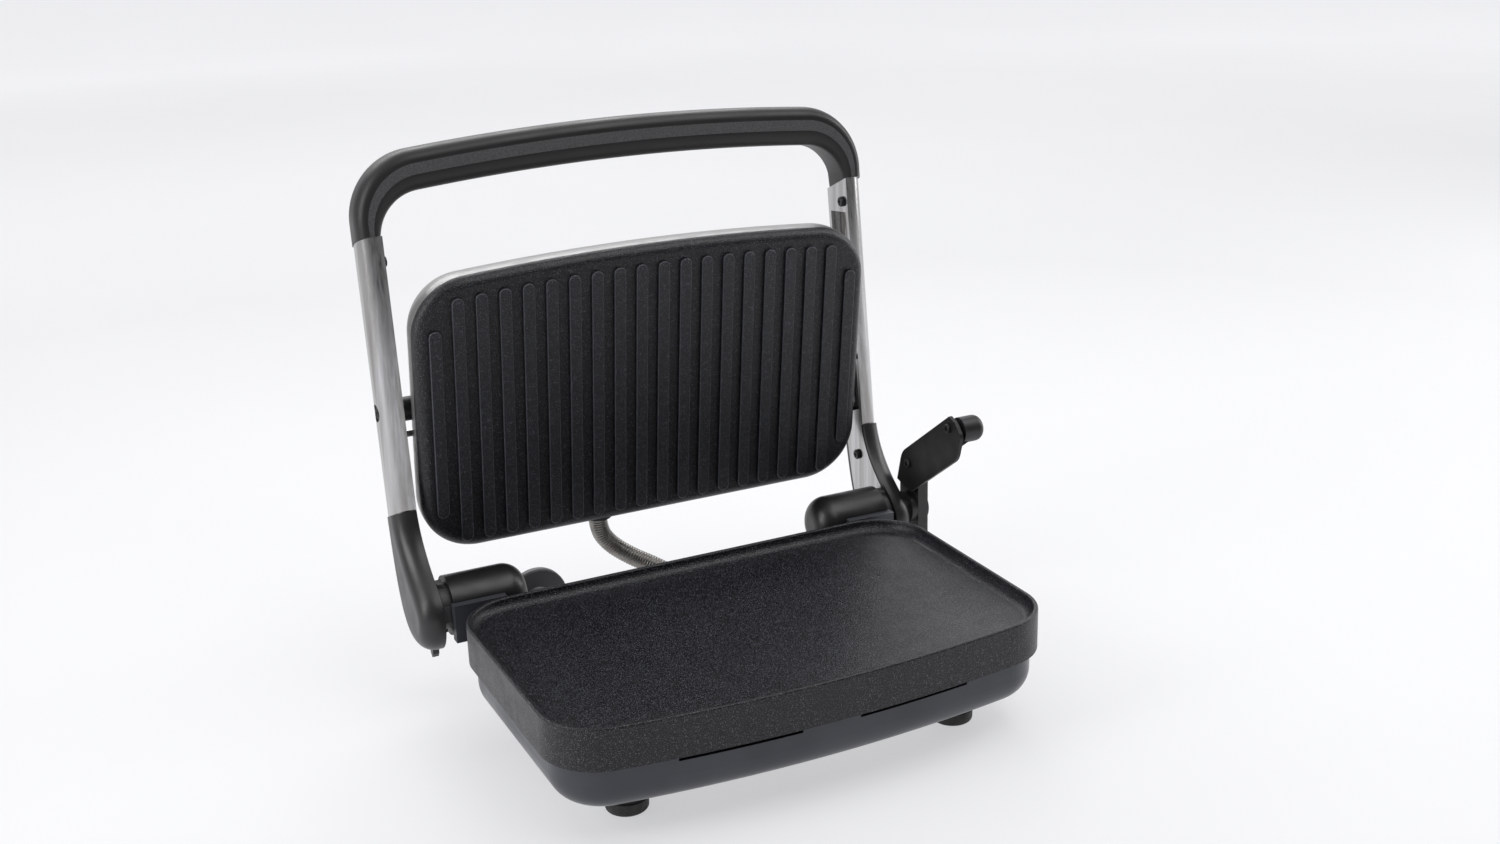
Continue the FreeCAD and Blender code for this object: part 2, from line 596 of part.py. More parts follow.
COVER_PROUD = 0.5
COVER_WALL = 2.6
WEB_THICK = 4.0
WEB_PLAY = 0.3
COVER_ROUNDING = 11.0
foot_above = joint_cutter(dim("arm_foot") + 0.1, False)
grip_below = joint_cutter(dim("arm_top"), True)
CHANNEL = (62.0, 203.0)
STOP_TOOTH = ((3.0, -18.0), (15.0, -18.0), (11.5, -31.5), (9.0, -34.0), (6.5, -31.5))
ARM_SCREW = 1.8
WEB_SCREW = V(0, 29.6, 35.0)
GRIP_SCREW = V(0, 27.5, 210.0)
PIN_HEAD, PIN_HEAD_RADIUS = 2.5, 5.4
HEX_KEY, HEX_DEPTH = 2.6, 1.6
pivot_head = arm_outer - 3.4

for name, side in SIDES:
    bar = arm_bar(dim("arm_inner"), 0.0, 30.0, 250.0).cut(foot_above).cut(grip_below)
    hollow = block((dim("arm_inner") - 1, arm_outer - dim("arm_wall")),
                   (front + dim("arm_wall"), back - dim("arm_wall")), CHANNEL)
    hollow = round_edges(hollow, 8.0, lambda edge: upright(edge) and edge.BoundBox.XMin > arm_outer - 5)
    web = lower_end(-(COVER_WALL + WEB_PLAY), dim("arm_inner"), dim("arm_inner") + WEB_THICK)
    web = web.cut(joint_cutter(dim("arm_foot") + 12.0, True))
    boss = cylinder_x(9.0, dim("arm_inner") + 4.0, arm_outer - 2.0, arm_middle, dim("pivot_up"))
    arm = bar.cut(hollow).fuse(boss.common(arm_bar(dim("arm_inner"), 0.0, 30.0, 250.0))).fuse(web)
    arm = arm.cut(cylinder_x(dim("axle_radius") + dim("running_gap"), 150.0, 170.0))
    arm = arm.cut(cylinder_x(dim("pivot_radius") + 0.02, 150.0, 175.0, arm_middle, dim("pivot_up")))
    arm = arm.cut(cylinder_x(PIN_HEAD_RADIUS + 0.05, pivot_head - PIN_HEAD, 175.0, arm_middle,
                             dim("pivot_up")))
    for spot in (WEB_SCREW, GRIP_SCREW):
        arm = arm.cut(cylinder_x(ARM_SCREW + 0.02, 150.0, dim("arm_inner") + 3.7, spot.y, spot.z))
    keep_shape("arm_" + name, mirror(arm, side), ARM)

    cover = lower_end(COVER_PROUD, dim("arm_inner") + 0.4, arm_outer + COVER_PROUD)
    cover = round_edges(cover, COVER_ROUNDING, lambda edge: edge.BoundBox.XMin > arm_outer
                        and edge.BoundBox.ZMin < 70)
    inside = lower_end(-COVER_WALL, dim("arm_inner") - 1, arm_outer + COVER_PROUD - COVER_WALL)
    inside = round_edges(inside, COVER_ROUNDING - 3, lambda edge: edge.BoundBox.XMin > arm_outer - 3
                         and edge.BoundBox.ZMin < 70)
    tooth_corners = [V(dim("arm_inner") + 0.4, y, z) for y, z in STOP_TOOTH + STOP_TOOTH[:1]]
    tooth = Part.Face(Part.makePolygon(tooth_corners)).extrude(V(WEB_THICK, 0, 0))
    cover = cover.fuse(tooth).cut(inside).cut(joint_cutter(dim("arm_foot"), True))
    if side > 0:
        cover = cover.cut(cylinder_x(dim("axle_radius") + 1.0, 150.0, 175.0))
    keep_shape("arm_cover_" + name, mirror(cover, side), ARM)

    inward = V(-side, 0, 0)
    screws = [placed(screw(ARM_SCREW, 3.6, 4.0), V(side * (dim("arm_inner") - 0.05), spot.y, spot.z), inward)
              for spot in (WEB_SCREW, GRIP_SCREW)]
    keep_shape("arm_screws_" + name, Part.makeCompound(screws), ARM)

    pin = cylinder_x(dim("pivot_radius"), 140.0, pivot_head - 0.1, arm_middle, dim("pivot_up"))
    head = cylinder_x(PIN_HEAD_RADIUS, pivot_head - PIN_HEAD + 0.05, pivot_head, arm_middle, dim("pivot_up"))
    corners = []
    for turn in range(7):
        corner = V(0, HEX_KEY, 0)
        corner = FreeCAD.Rotation(X_AXIS, 60 * turn).multVec(corner)
        corners.append(corner + V(pivot_head - HEX_DEPTH, arm_middle, dim("pivot_up")))
    socket = Part.Face(Part.makePolygon(corners)).extrude(V(PIN_HEAD, 0, 0))
    pin = pin.fuse(head).cut(socket)
    keep_shape("pivot_pin_" + name, mirror(pin, side), ARM)

# ---------------------------------------------------------------- grip

GRIP_PROUD = 0.3
GRIP_ROUNDING = 11.0
GRIP_INNER_ROUNDING = 5.0
outer_grip = (arm_outer + GRIP_PROUD, -130.0, dim("grip_top"), dim("grip_bow"), dim("grip_corner"))
inner_grip = (dim("arm_inner"), -130.0, dim("grip_top") - dim("grip_height"), dim("grip_bow"),
              dim("grip_corner") - dim("arm_thick"))


def hoop(outline):
    """A solid of an upright hoop outline through the depth of the arms."""
    solid = plate_prism(outline, 0.0, 0.0, dim("arm_depth") + 2 * GRIP_PROUD)
    solid.rotate(V(0, 0, 0), X_AXIS, -90)
    solid.translate(V(0, front - GRIP_PROUD, 0))
    return solid


grip = round_edges(hoop(outer_grip), GRIP_ROUNDING,
                   lambda edge: edge.BoundBox.YLength < 0.01)
grip = grip.cut(hoop(inner_grip)).cut(joint_cutter(dim("arm_top") + 0.1, False))
grip = round_edges(grip, GRIP_INNER_ROUNDING,
                   lambda edge: edge.BoundBox.YLength < 0.01 and edge.BoundBox.ZMin > dim("arm_top") - 6
                   and edge.BoundBox.XMax < dim("arm_inner") + 0.01
                   and edge.BoundBox.XMin > -dim("arm_inner") - 0.01)
keep_shape("grip", grip, ARM)

# ---------------------------------------------------------------- lid, drawn closed in the pivot's frame

lid_outline = (dim("lid_half_width"), dim("lid_back"), dim("lid_front"), dim("lid_bow"), dim("plate_corner"))
face_z = dim("rib_height") - dim("rib_plane")
plate_top = dim("upper_skirt") - dim("rib_plane")
cover_low = plate_top + 0.3
cover_top = dim("cover_height") - dim("rib_plane")
UPPER_DECK = 4.5
RIB_COUNT = 20
RIB_FRONT_MARGIN, RIB_BACK_MARGIN = 9.9, 7.2
END_RIB = (-59.5, 65.0)


def rib_outline(x):
    """One rib: a long bar with round ends, its front end following the bowed edge."""
    half = dim("rib_width") / 2
    ahead = dim("lid_bow") - math.sqrt(dim("lid_bow") ** 2 - x * x) - dim("lid_front") + RIB_FRONT_MARGIN
    behind = dim("lid_back") - RIB_BACK_MARGIN
    if abs(x) > dim("rib_pitch") * (RIB_COUNT / 2 - 1):
        ahead, behind = END_RIB
    ahead, behind = ahead + half, behind - half
    return [
        Part.LineSegment(V(x - half, ahead, 0), V(x - half, behind, 0)),
        Part.Arc(V(x - half, behind, 0), V(x, behind + half, 0), V(x + half, behind, 0)),
        Part.LineSegment(V(x + half, behind, 0), V(x + half, ahead, 0)),
        Part.Arc(V(x + half, ahead, 0), V(x, ahead - half, 0), V(x - half, ahead, 0)),
    ]


upper = new_body("upper_plate")
profile = sketch(upper, "upper_outline", "XY_Plane", face_z, plate_outline(lid_outline))
pad(upper, "upper_slab", profile, cell("upper_skirt") + " - " + cell("rib_height"))
fillet(upper, "upper_edge", at_height(face_z), cell("upper_blend"))
profile = sketch(upper, "upper_hollow", "XY_Plane", plate_top, plate_outline(lid_outline, dim("skirt_wall")))
pocket(upper, "upper_recess", profile, "%s - %s - %g" % (cell("upper_skirt"), cell("rib_height"), UPPER_DECK))
rib_edges = []
for number in range(RIB_COUNT):
    rib_edges += rib_outline((number - (RIB_COUNT - 1) / 2) * dim("rib_pitch"))
profile = sketch(upper, "rib_outlines", "XY_Plane", face_z + 0.5, rib_edges)
pad(upper, "ribs", profile, cell("rib_height") + " + 0.5", backwards=True)
fillet(upper, "rib_edges", at_height(-dim("rib_plane")), cell("rib_round"))
keep("upper_plate", upper, LID)

SLEEVE_HOLE = 0.5
STOP_PIN = V(0, 17.0, 0)
STOP_RADIUS = 2.2
UPPER_GLAND = V(-31.0, dim("lid_back"), -8.6)
LAMPS = (("power_lamp", -11.0), ("ready_lamp", 11.0))
LAMP_Y, LAMP_RADIUS = -52.0, 3.4

cover = plate_prism(lid_outline, 0.0, cover_low, cover_top)
cover = round_edges(cover, dim("cover_blend"), at_height(cover_top))
inside = plate_prism(lid_outline, dim("cover_wall"), cover_low - 1, cover_top - dim("cover_wall"))
inside = round_edges(inside, dim("cover_blend") - dim("cover_wall"), at_height(cover_top - dim("cover_wall")))
cover = cover.cut(inside)
for side in (-1, 1):
    cover = cover.cut(mirror(cylinder_x(dim("sleeve_radius") + SLEEVE_HOLE, 130.0, 160.0), side))
    cover = cover.cut(mirror(cylinder_x(STOP_RADIUS + 0.3, 130.0, 160.0, STOP_PIN.y, STOP_PIN.z), side))
cover = cover.cut(Part.makeCylinder(8.0, 20.0, V(UPPER_GLAND.x, dim("lid_back") - 10, UPPER_GLAND.z), Y_AXIS))
for name, x in LAMPS:
    cover = cover.cut(cylinder_z(LAMP_RADIUS, cover_top - 5, cover_top + 5, x, LAMP_Y))
    lens = cylinder_z(LAMP_RADIUS - 0.05, -5.0, 1.0, 0, 0)
    lens = lens.fuse(cylinder_z(LAMP_RADIUS + 1.2, -3.2, -dim("cover_wall") - 0.05, 0, 0))
    lens = round_edges(lens, 0.9, at_height(1.0))
    keep_shape(name, lens, LID.multiply(FreeCAD.Placement(V(x, LAMP_Y, cover_top), FreeCAD.Rotation())))
keep_shape("lid_cover", cover, LID)
keep_shape("conduit_gland_upper", gland(conduit_bore, 8.0),
           LID.multiply(FreeCAD.Placement(UPPER_GLAND, FreeCAD.Rotation())))

deck_top = face_z + UPPER_DECK
upper_element = heater(deck_top + ELEMENT_RADIUS + CONTACT_GAP)
keep_shape("upper_element", upper_element, LID)
THROUGH = (-30.0, 30.0)
reflector_low = deck_top + 9.6
reflector = plate_prism(lid_outline, 12.0, reflector_low, reflector_low + REFLECTOR_THICK)
for side in (-1, 1):
    reflector = reflector.cut(block(span(side * 112.5, side * 160.0), (-24.0, 28.0), THROUGH))
    reflector = reflector.cut(cylinder_z(LEAD_HOLE, *THROUGH, side * LEAD_GAP, ELEMENT_END - 4))
reflector = reflector.cut(block((-46.0, -16.0), (68.0, 100.0), THROUGH))
keep_shape("upper_reflector", reflector, LID)
keep_shape("upper_thermostat", thermostat(deck_top + CONTACT_GAP, deck_top + 0.3), LID)

BRACKET_SPAN = (114.0, 130.0)
for name, side in SIDES:
    foot_plate = block(BRACKET_SPAN, (-18, 24), (deck_top + 0.05, deck_top + 2.0))
    upright_plate = block((BRACKET_SPAN[1] - 2.5, BRACKET_SPAN[1]), (-18, 24), (deck_top + 0.05, 10.0))
    upright_plate = round_edges(upright_plate, 8.0, lambda edge: edge.BoundBox.ZMin > 9 and
                                abs(edge.BoundBox.XLength - 2.5) < 0.01)
    bracket = foot_plate.fuse(upright_plate)
    bracket = bracket.cut(cylinder_x(dim("sleeve_radius") + 0.02, 120.0, 150.0))
    bracket = bracket.cut(cylinder_x(STOP_RADIUS + 0.02, 120.0, 150.0, STOP_PIN.y, STOP_PIN.z))
    keep_shape("pivot_bracket_" + name, mirror(bracket, side), LID)
    sleeve = cylinder_x(dim("sleeve_radius"), 124.0, dim("arm_inner") - 0.6)
    sleeve = sleeve.cut(cylinder_x(dim("pivot_radius") + dim("running_gap"), 120.0, 160.0))
    keep_shape("pivot_sleeve_" + name, mirror(sleeve, side), LID)
    rod = cylinder_x(STOP_RADIUS, 126.0, 163.0, STOP_PIN.y, STOP_PIN.z)
    keep_shape("tilt_stop_" + name, mirror(rod, side), LID)

# ---------------------------------------------------------------- lever, drawn along its own length

PADDLE_THICK = 2.4
BODY_THICK = 2.6
BODY_INSET = 4.0
HUB_RADIUS = 11.0
BLOCK_INNER, BLOCK_DEPTH, BLOCK_HEIGHT = 178.5, (-11.0, 13.0), (-24.0, 27.0)
KNOB = V(0, 24.2, 90.5)
KNOB_RADIUS = 8.5
LEVER_SCREWS = (V(0, 27.5, 87.5), V(0, 24.0, 24.0))


def paddle(inner, outer_face, shrink=0.0):
    """The lever's flat outline, drawn in by shrink, between two X planes."""
    low, high, end = 6.4 + shrink, 34.0 - shrink, 98.5 - shrink
    corners = [V(0, low, 14.0), V(0, low, end - 14.0), V(0, low + 11.0, end), V(0, high - 6.0, end - 1.5),
               V(0, high, end - 6.0), V(0, high, 20.0), V(0, 20.0, 2.6)]
    solid = Part.Face(Part.makePolygon(corners + corners[:1])).extrude(V(outer_face - inner, 0, 0))
    solid.translate(V(inner, 0, 0))
    for radius, first, last in ((13.0, end - 16.0, end - 10.0), (5.5, end - 0.5, end + 0.5), (16.0, 16.0, 24.0)):
        solid = round_edges(solid, radius - shrink, lambda edge: edge.BoundBox.YLength + edge.BoundBox.ZLength < 0.01
                            and first < edge.BoundBox.ZMin < last)
    return solid


body_inner = dim("lever_start") + PADDLE_THICK + 0.05
plate = paddle(dim("lever_start"), dim("lever_start") + PADDLE_THICK)
lever_body = paddle(body_inner, body_inner + BODY_THICK, BODY_INSET)
turning_block = block((BLOCK_INNER, dim("lever_end")), BLOCK_DEPTH, BLOCK_HEIGHT)
turning_block = round_edges(turning_block, 4.0, lambda edge: edge.BoundBox.XLength > 1)
turning_block = round_edges(turning_block, 2.0, lambda edge: edge.BoundBox.XMin > dim("lever_end") - 0.01)
turning_block.rotate(V(0, 0, 0), X_AXIS, dim("lever_rise") - 90)
hub = cylinder_x(HUB_RADIUS, dim("lever_start") + 0.2, dim("lever_end"))
hub_clear = cylinder_x(HUB_RADIUS + 0.05, 170.0, 200.0)
lever_body = lever_body.fuse(hub).fuse(turning_block)
gusset_corners = [V(body_inner, 13.0, 88.0), V(body_inner + 13.0, 18.0, 88.0), V(body_inner, 18.0, 88.0)]
gusset = Part.Face(Part.makePolygon(gusset_corners + gusset_corners[:1])).extrude(V(0, 0, 3.0))
plate = plate.cut(hub_clear)
lever_bore = cylinder_x(dim("axle_radius") + dim("running_gap"), 170.0, dim("lever_end") - 5.5)
lever_body = lever_body.cut(lever_bore)
spigot = cylinder_x(3.0, body_inner + BODY_THICK - 0.5, dim("lever_knob_end") - 8.0, KNOB.y, KNOB.z)
lever_body = lever_body.fuse(spigot).fuse(gusset)
knob = cylinder_x(KNOB_RADIUS, body_inner + BODY_THICK + 0.1, dim("lever_knob_end"), KNOB.y, KNOB.z)
knob = round_edges(knob, 5.5, lambda edge: edge.BoundBox.XMin > dim("lever_knob_end") - 0.1)
knob = knob.cut(cylinder_x(3.02, 170.0, dim("lever_knob_end") - 7.9, KNOB.y, KNOB.z)).cut(gusset)
for spot in LEVER_SCREWS:
    drill = cylinder_x(1.62, 170.0, body_inner + 3.0, spot.y, spot.z)
    plate = plate.cut(drill)
    lever_body = lever_body.cut(drill)
fasteners = [placed(screw(1.6, 4.6, 3.4), V(dim("lever_start") - 0.05, spot.y, spot.z), V(-1, 0, 0))
             for spot in LEVER_SCREWS]
keep_shape("lever_plate", plate, LEVER)
keep_shape("lever_body", lever_body, LEVER)
keep_shape("lever_knob", knob, LEVER)
keep_shape("lever_screws", Part.makeCompound(fasteners), LEVER)

# ---------------------------------------------------------------- flexible conduit between base and lid

gland_mouth = LID.multVec(UPPER_GLAND)
lid_down = LID.Rotation.multVec(Y_AXIS)
MEETING = V(-2.0, 151.0, 35.0)
LOWER_ROUTE = [V(GLAND_X, wall_back - 4.0, GLAND_Z), V(GLAND_X, 112.0, GLAND_Z), V(16.0, 140.0, 24.0),
               MEETING]
UPPER_ROUTE = [MEETING, V(-20.0, 162.0, 46.0), gland_mouth + lid_down * 16.0, gland_mouth - lid_down * 4.0]


def conduit(route):
    """A round hose along straight runs joined by tangent arcs, each as large as its runs allow."""
    edges = []
    start = route[0]
    for before, corner, after in zip(route, route[1:], route[2:]):
        inward, outward = (before - corner), (after - corner)
        cut = 0.45 * min(inward.Length, outward.Length)
        inward, outward = inward.normalize(), outward.normalize()
        half_turn = (math.pi - inward.getAngle(outward)) / 2
        bend = cut / math.tan(half_turn)
        print("conduit bend radius %.1f" % bend)
        middle = corner + (inward + outward).normalize() * (bend / math.cos(half_turn) - bend)
        edges.append(Part.LineSegment(start, corner + inward * cut).toShape())
        edges.append(Part.Arc(corner + inward * cut, middle, corner + outward * cut).toShape())
        start = corner + outward * cut
    edges.append(Part.LineSegment(start, route[-1]).toShape())
    path = Part.Wire(edges)
    section = Part.Wire([Part.Circle(route[0], route[1] - route[0], dim("conduit_radius")).toShape()])
    hose = path.makePipeShell([section], True, False)
    expected = math.pi * dim("conduit_radius") ** 2 * path.Length
    print("conduit length %.1f, volume %.3f of expected" % (path.Length, hose.Volume / expected))
    return hose


keep_shape("conduit_lower", conduit(LOWER_ROUTE))
keep_shape("conduit_upper", conduit(UPPER_ROUTE))

# ---------------------------------------------------------------- check and export

doc.recompute()
for thing in doc.Objects:
    if "Invalid" in thing.State or "Error" in thing.State:
        raise RuntimeError(thing.Label + " failed: " + " ".join(thing.State))
os.makedirs("parts", exist_ok=True)
for name, thing in parts.items():
    shape = thing.Shape
    if shape.isNull() or not shape.isValid():
        raise RuntimeError(name + " has no valid shape")
    shape.exportStep("parts/%s.step" % name)
print(len(parts), "parts written")
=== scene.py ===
import bpy
import json
import math
from mathutils import Euler, Matrix, Vector


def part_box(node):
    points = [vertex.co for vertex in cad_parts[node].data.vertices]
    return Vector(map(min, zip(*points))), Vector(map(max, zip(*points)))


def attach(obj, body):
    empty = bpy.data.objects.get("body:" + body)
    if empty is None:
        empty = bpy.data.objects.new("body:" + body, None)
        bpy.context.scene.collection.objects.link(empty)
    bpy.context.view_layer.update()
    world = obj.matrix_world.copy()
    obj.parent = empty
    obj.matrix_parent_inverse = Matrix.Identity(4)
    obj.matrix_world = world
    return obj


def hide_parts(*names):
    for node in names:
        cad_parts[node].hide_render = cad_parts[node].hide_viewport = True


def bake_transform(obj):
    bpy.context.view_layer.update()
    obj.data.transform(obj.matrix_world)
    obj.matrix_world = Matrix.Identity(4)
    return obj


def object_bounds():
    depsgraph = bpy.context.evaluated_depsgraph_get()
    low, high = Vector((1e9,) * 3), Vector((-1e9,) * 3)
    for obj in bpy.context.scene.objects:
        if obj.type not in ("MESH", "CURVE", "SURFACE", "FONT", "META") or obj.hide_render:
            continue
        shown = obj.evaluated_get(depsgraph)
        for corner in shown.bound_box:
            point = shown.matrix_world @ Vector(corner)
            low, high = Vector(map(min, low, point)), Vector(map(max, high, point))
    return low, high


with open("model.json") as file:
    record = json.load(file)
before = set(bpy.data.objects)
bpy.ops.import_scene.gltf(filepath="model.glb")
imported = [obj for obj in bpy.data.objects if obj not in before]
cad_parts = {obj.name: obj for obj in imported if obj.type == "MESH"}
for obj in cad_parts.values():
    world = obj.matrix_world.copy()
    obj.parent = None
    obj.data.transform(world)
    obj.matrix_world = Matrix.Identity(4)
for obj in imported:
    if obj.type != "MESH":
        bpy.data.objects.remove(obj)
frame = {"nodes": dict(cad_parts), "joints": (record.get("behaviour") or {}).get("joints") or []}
cad_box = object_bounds()
nodes = frame["nodes"]

# ---------------------------------------------------------------- studio
# A seamless sheet of pale paper runs along the table and up behind the press. Four soft boxes
# stand left, behind, right and in front, under a broad ceiling light and bright air at the back.


def finish(name, colour, roughness, metallic=0.0):
    """A material with one evenly coloured surface, ready for grain to be laid over it."""
    material = bpy.data.materials.new(name)
    material.use_nodes = True
    shader = material.node_tree.nodes["Principled BSDF"]
    shader.inputs["Base Color"].default_value = (*colour, 1.0)
    shader.inputs["Roughness"].default_value = roughness
    shader.inputs["Metallic"].default_value = metallic
    return material


def noise(material, feature, stretch=(1.0, 1.0, 1.0), detail=3.0):
    """Noise whose lumps are about feature metres wide, drawn out along each axis by stretch."""
    tree = material.node_tree
    place = tree.nodes.new("ShaderNodeTexCoord")
    scale = tree.nodes.new("ShaderNodeMapping")
    scale.inputs["Scale"].default_value = tuple(1.0 / pull for pull in stretch)
    lumps = tree.nodes.new("ShaderNodeTexNoise")
    lumps.inputs["Scale"].default_value = 1.0 / feature
    lumps.inputs["Detail"].default_value = detail
    tree.links.new(place.outputs["Object"], scale.inputs["Vector"])
    tree.links.new(scale.outputs["Vector"], lumps.inputs["Vector"])
    return lumps.outputs["Fac"]


def spread(material, value, low, high, start=0.35, end=0.65):
    """The noise value, start to end, turned into low to high."""
    mapped = material.node_tree.nodes.new("ShaderNodeMapRange")
    mapped.inputs["From Min"].default_value = start
    mapped.inputs["From Max"].default_value = end
    mapped.inputs["To Min"].default_value = low
    mapped.inputs["To Max"].default_value = high
    material.node_tree.links.new(value, mapped.inputs["Value"])
    return mapped.outputs["Result"]


def gloss(material, value, low, high, start=0.35, end=0.65):
    """Let the roughness vary from low to high with the noise."""
    rough = spread(material, value, low, high, start, end)
    shader = material.node_tree.nodes["Principled BSDF"]
    material.node_tree.links.new(rough, shader.inputs["Roughness"])


FLOOR_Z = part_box("foot_front_left")[0].z
FLOOR_HALF, WALL_TOP = 6.0, 6.0
FLOOR_TURN = -25.7
SWEEP_RADIUS, SWEEP_BACK, SWEEP_STEPS = 2.0, 3.2, 12
floor_outline = [(-FLOOR_HALF, 0.0), (SWEEP_BACK, 0.0)]
for step in range(1, SWEEP_STEPS + 1):
    angle = math.radians(90 * step / SWEEP_STEPS)
    floor_outline.append((SWEEP_BACK + SWEEP_RADIUS * math.sin(angle),
                          SWEEP_RADIUS * (1 - math.cos(angle))))
floor_outline.append((SWEEP_BACK + SWEEP_RADIUS, WALL_TOP))
floor_points = []
for y, z in floor_outline:
    floor_points += [(-FLOOR_HALF, y, FLOOR_Z + z), (FLOOR_HALF, y, FLOOR_Z + z)]
floor_faces = [(2 * i, 2 * i + 1, 2 * i + 3, 2 * i + 2) for i in range(len(floor_outline) - 1)]
floor_mesh = bpy.data.meshes.new("floor")
floor_mesh.from_pydata(floor_points, [], floor_faces)
floor_mesh.shade_smooth()
floor = bpy.data.objects.new("floor", floor_mesh)
bpy.context.scene.collection.objects.link(floor)
floor.rotation_euler.z = math.radians(FLOOR_TURN)
paper = finish("white_paper", (0.33, 0.33, 0.333), 0.75)
gloss(paper, noise(paper, 0.4), 0.7, 0.8)
paper_shader = paper.node_tree.nodes["Principled BSDF"]
paper_shader.inputs["Emission Color"].default_value = (0.97, 0.975, 1.0, 1.0)
paper_place = paper.node_tree.nodes.new("ShaderNodeTexCoord")
paper_reach = paper.node_tree.nodes.new("ShaderNodeVectorMath")
paper_reach.operation = "LENGTH"
paper.node_tree.links.new(paper_place.outputs["Object"], paper_reach.inputs[0])
# The paper glows a little, so that the table and the wall far behind keep one brightness.
near_glow = spread(paper, paper_reach.outputs["Value"], 0.53, 0.45, 0.4, 1.2)
far_glow = spread(paper, paper_reach.outputs["Value"], 0.0, 0.22, 1.2, 3.4)
paper_glow = paper.node_tree.nodes.new("ShaderNodeMath")
paper_glow.operation = "ADD"
paper.node_tree.links.new(near_glow, paper_glow.inputs[0])
paper.node_tree.links.new(far_glow, paper_glow.inputs[1])
paper.node_tree.links.new(paper_glow.outputs["Value"], paper_shader.inputs["Emission Strength"])
floor.data.materials.append(paper)

MIDDLE = (cad_box[0] + cad_box[1]) / 2


def soft_box(name, place, size, power):
    """A square soft light aimed at the middle of the press."""
    lamp = bpy.data.lights.new(name, "AREA")
    lamp.shape = "RECTANGLE"
    lamp.size, lamp.size_y = size
    lamp.energy = power
    holder = bpy.data.objects.new(name, lamp)
    bpy.context.scene.collection.objects.link(holder)
    holder.location = place
    holder.rotation_euler = (MIDDLE - Vector(place)).to_track_quat("-Z", "Y").to_euler()


soft_box("left_soft_box", (-1.7, 0.0, 0.9), (0.6, 1.3), 16.0)
soft_box("back_soft_box", (0.2, 1.9, 1.5), (2.2, 0.7), 20.0)
soft_box("right_soft_box", (1.6, 0.1, 0.7), (0.5, 1.2), 9.0)
soft_box("front_soft_box", (0.55, -0.45, 1.6), (1.6, 0.9), 11.0)

CEILING_POWER, CEILING_SPREAD = 0.55, 75
sky = bpy.data.lights.new("ceiling", "SUN")
sky.energy = CEILING_POWER
sky.angle = math.radians(CEILING_SPREAD)
ceiling = bpy.data.objects.new("ceiling", sky)
bpy.context.scene.collection.objects.link(ceiling)
ceiling.rotation_euler = (math.radians(-12), math.radians(-8), 0.0)

BRIGHT_SIDE = (-0.15, 0.7, 0.45)
world = bpy.data.worlds.new("studio_air")
world.use_nodes = True
air = world.node_tree
direction = air.nodes.new("ShaderNodeTexCoord")
facing = air.nodes.new("ShaderNodeVectorMath")
facing.operation = "DOT_PRODUCT"
facing.inputs[1].default_value = BRIGHT_SIDE
brightness = air.nodes.new("ShaderNodeMapRange")
brightness.inputs["From Min"].default_value = -0.35
brightness.inputs["From Max"].default_value = 0.75
brightness.inputs["To Min"].default_value = 0.06
brightness.inputs["To Max"].default_value = 0.46
air.links.new(direction.outputs["Generated"], facing.inputs[0])
air.links.new(facing.outputs["Value"], brightness.inputs["Value"])
air.links.new(brightness.outputs["Result"], air.nodes["Background"].inputs["Strength"])
air.nodes["Background"].inputs["Color"].default_value = (0.97, 0.98, 1.0, 1.0)
bpy.context.scene.world = world
bpy.context.scene.view_settings.view_transform = "Standard"

LENS, FILM = 42.83, 36.0
TURN, TILT, ROLL = 25.723, 18.698, -1.693
camera_data = bpy.data.cameras.new("camera")
camera_data.lens = LENS
camera_data.sensor_width = FILM
camera = bpy.data.objects.new("camera", camera_data)
bpy.context.scene.collection.objects.link(camera)
aim = Euler((math.radians(90 - TILT), 0.0, math.radians(-TURN))).to_matrix().to_4x4()
camera.matrix_world = (Matrix.Translation((-0.4146, -0.8683, 0.5022)) @ aim
                       @ Matrix.Rotation(math.radians(ROLL), 4, "Z"))
bpy.context.scene.camera = camera

# ---------------------------------------------------------------- base pan and its screws
# The underside is a zinc-plated steel sheet let into the housing and screwed up from below. The
# lid's inner brackets are the same sheet. The axles, pins and stops are turned from bright steel,
# and the small screws of the arms and the lever are blackened.


def tint(material, value, dark, light, start=0.35, end=0.65):
    """Colour the surface from dark to light where the noise rises from start to end."""
    tree = material.node_tree
    ramp = tree.nodes.new("ShaderNodeValToRGB")
    ramp.color_ramp.elements[0].position = start
    ramp.color_ramp.elements[1].position = end
    ramp.color_ramp.elements[0].color = (*dark, 1.0)
    ramp.color_ramp.elements[1].color = (*light, 1.0)
    tree.links.new(value, ramp.inputs["Fac"])
    tree.links.new(ramp.outputs["Color"], tree.nodes["Principled BSDF"].inputs["Base Color"])


def dress(material, *names):
    """Give CAD nodes their finish."""
    for name in names:
        nodes[name].data.materials.clear()
        nodes[name].data.materials.append(material)


zinc = finish("zinc_plate", (0.45, 0.45, 0.44), 0.4, 1.0)
tint(zinc, noise(zinc, 0.03, detail=6), (0.36, 0.36, 0.35), (0.52, 0.52, 0.5))
gloss(zinc, noise(zinc, 0.008), 0.32, 0.5)
dress(zinc, "base_pan", "pivot_bracket_left", "pivot_bracket_right")

bright_steel = finish("turned_steel", (0.6, 0.6, 0.59), 0.28, 1.0)
gloss(bright_steel, noise(bright_steel, 0.002, (0.05, 1, 1)), 0.2, 0.38)
dress(bright_steel, "pan_screws", "hinge_axle_left", "hinge_axle_right", "pivot_pin_left",
      "pivot_pin_right", "tilt_stop_left", "tilt_stop_right")

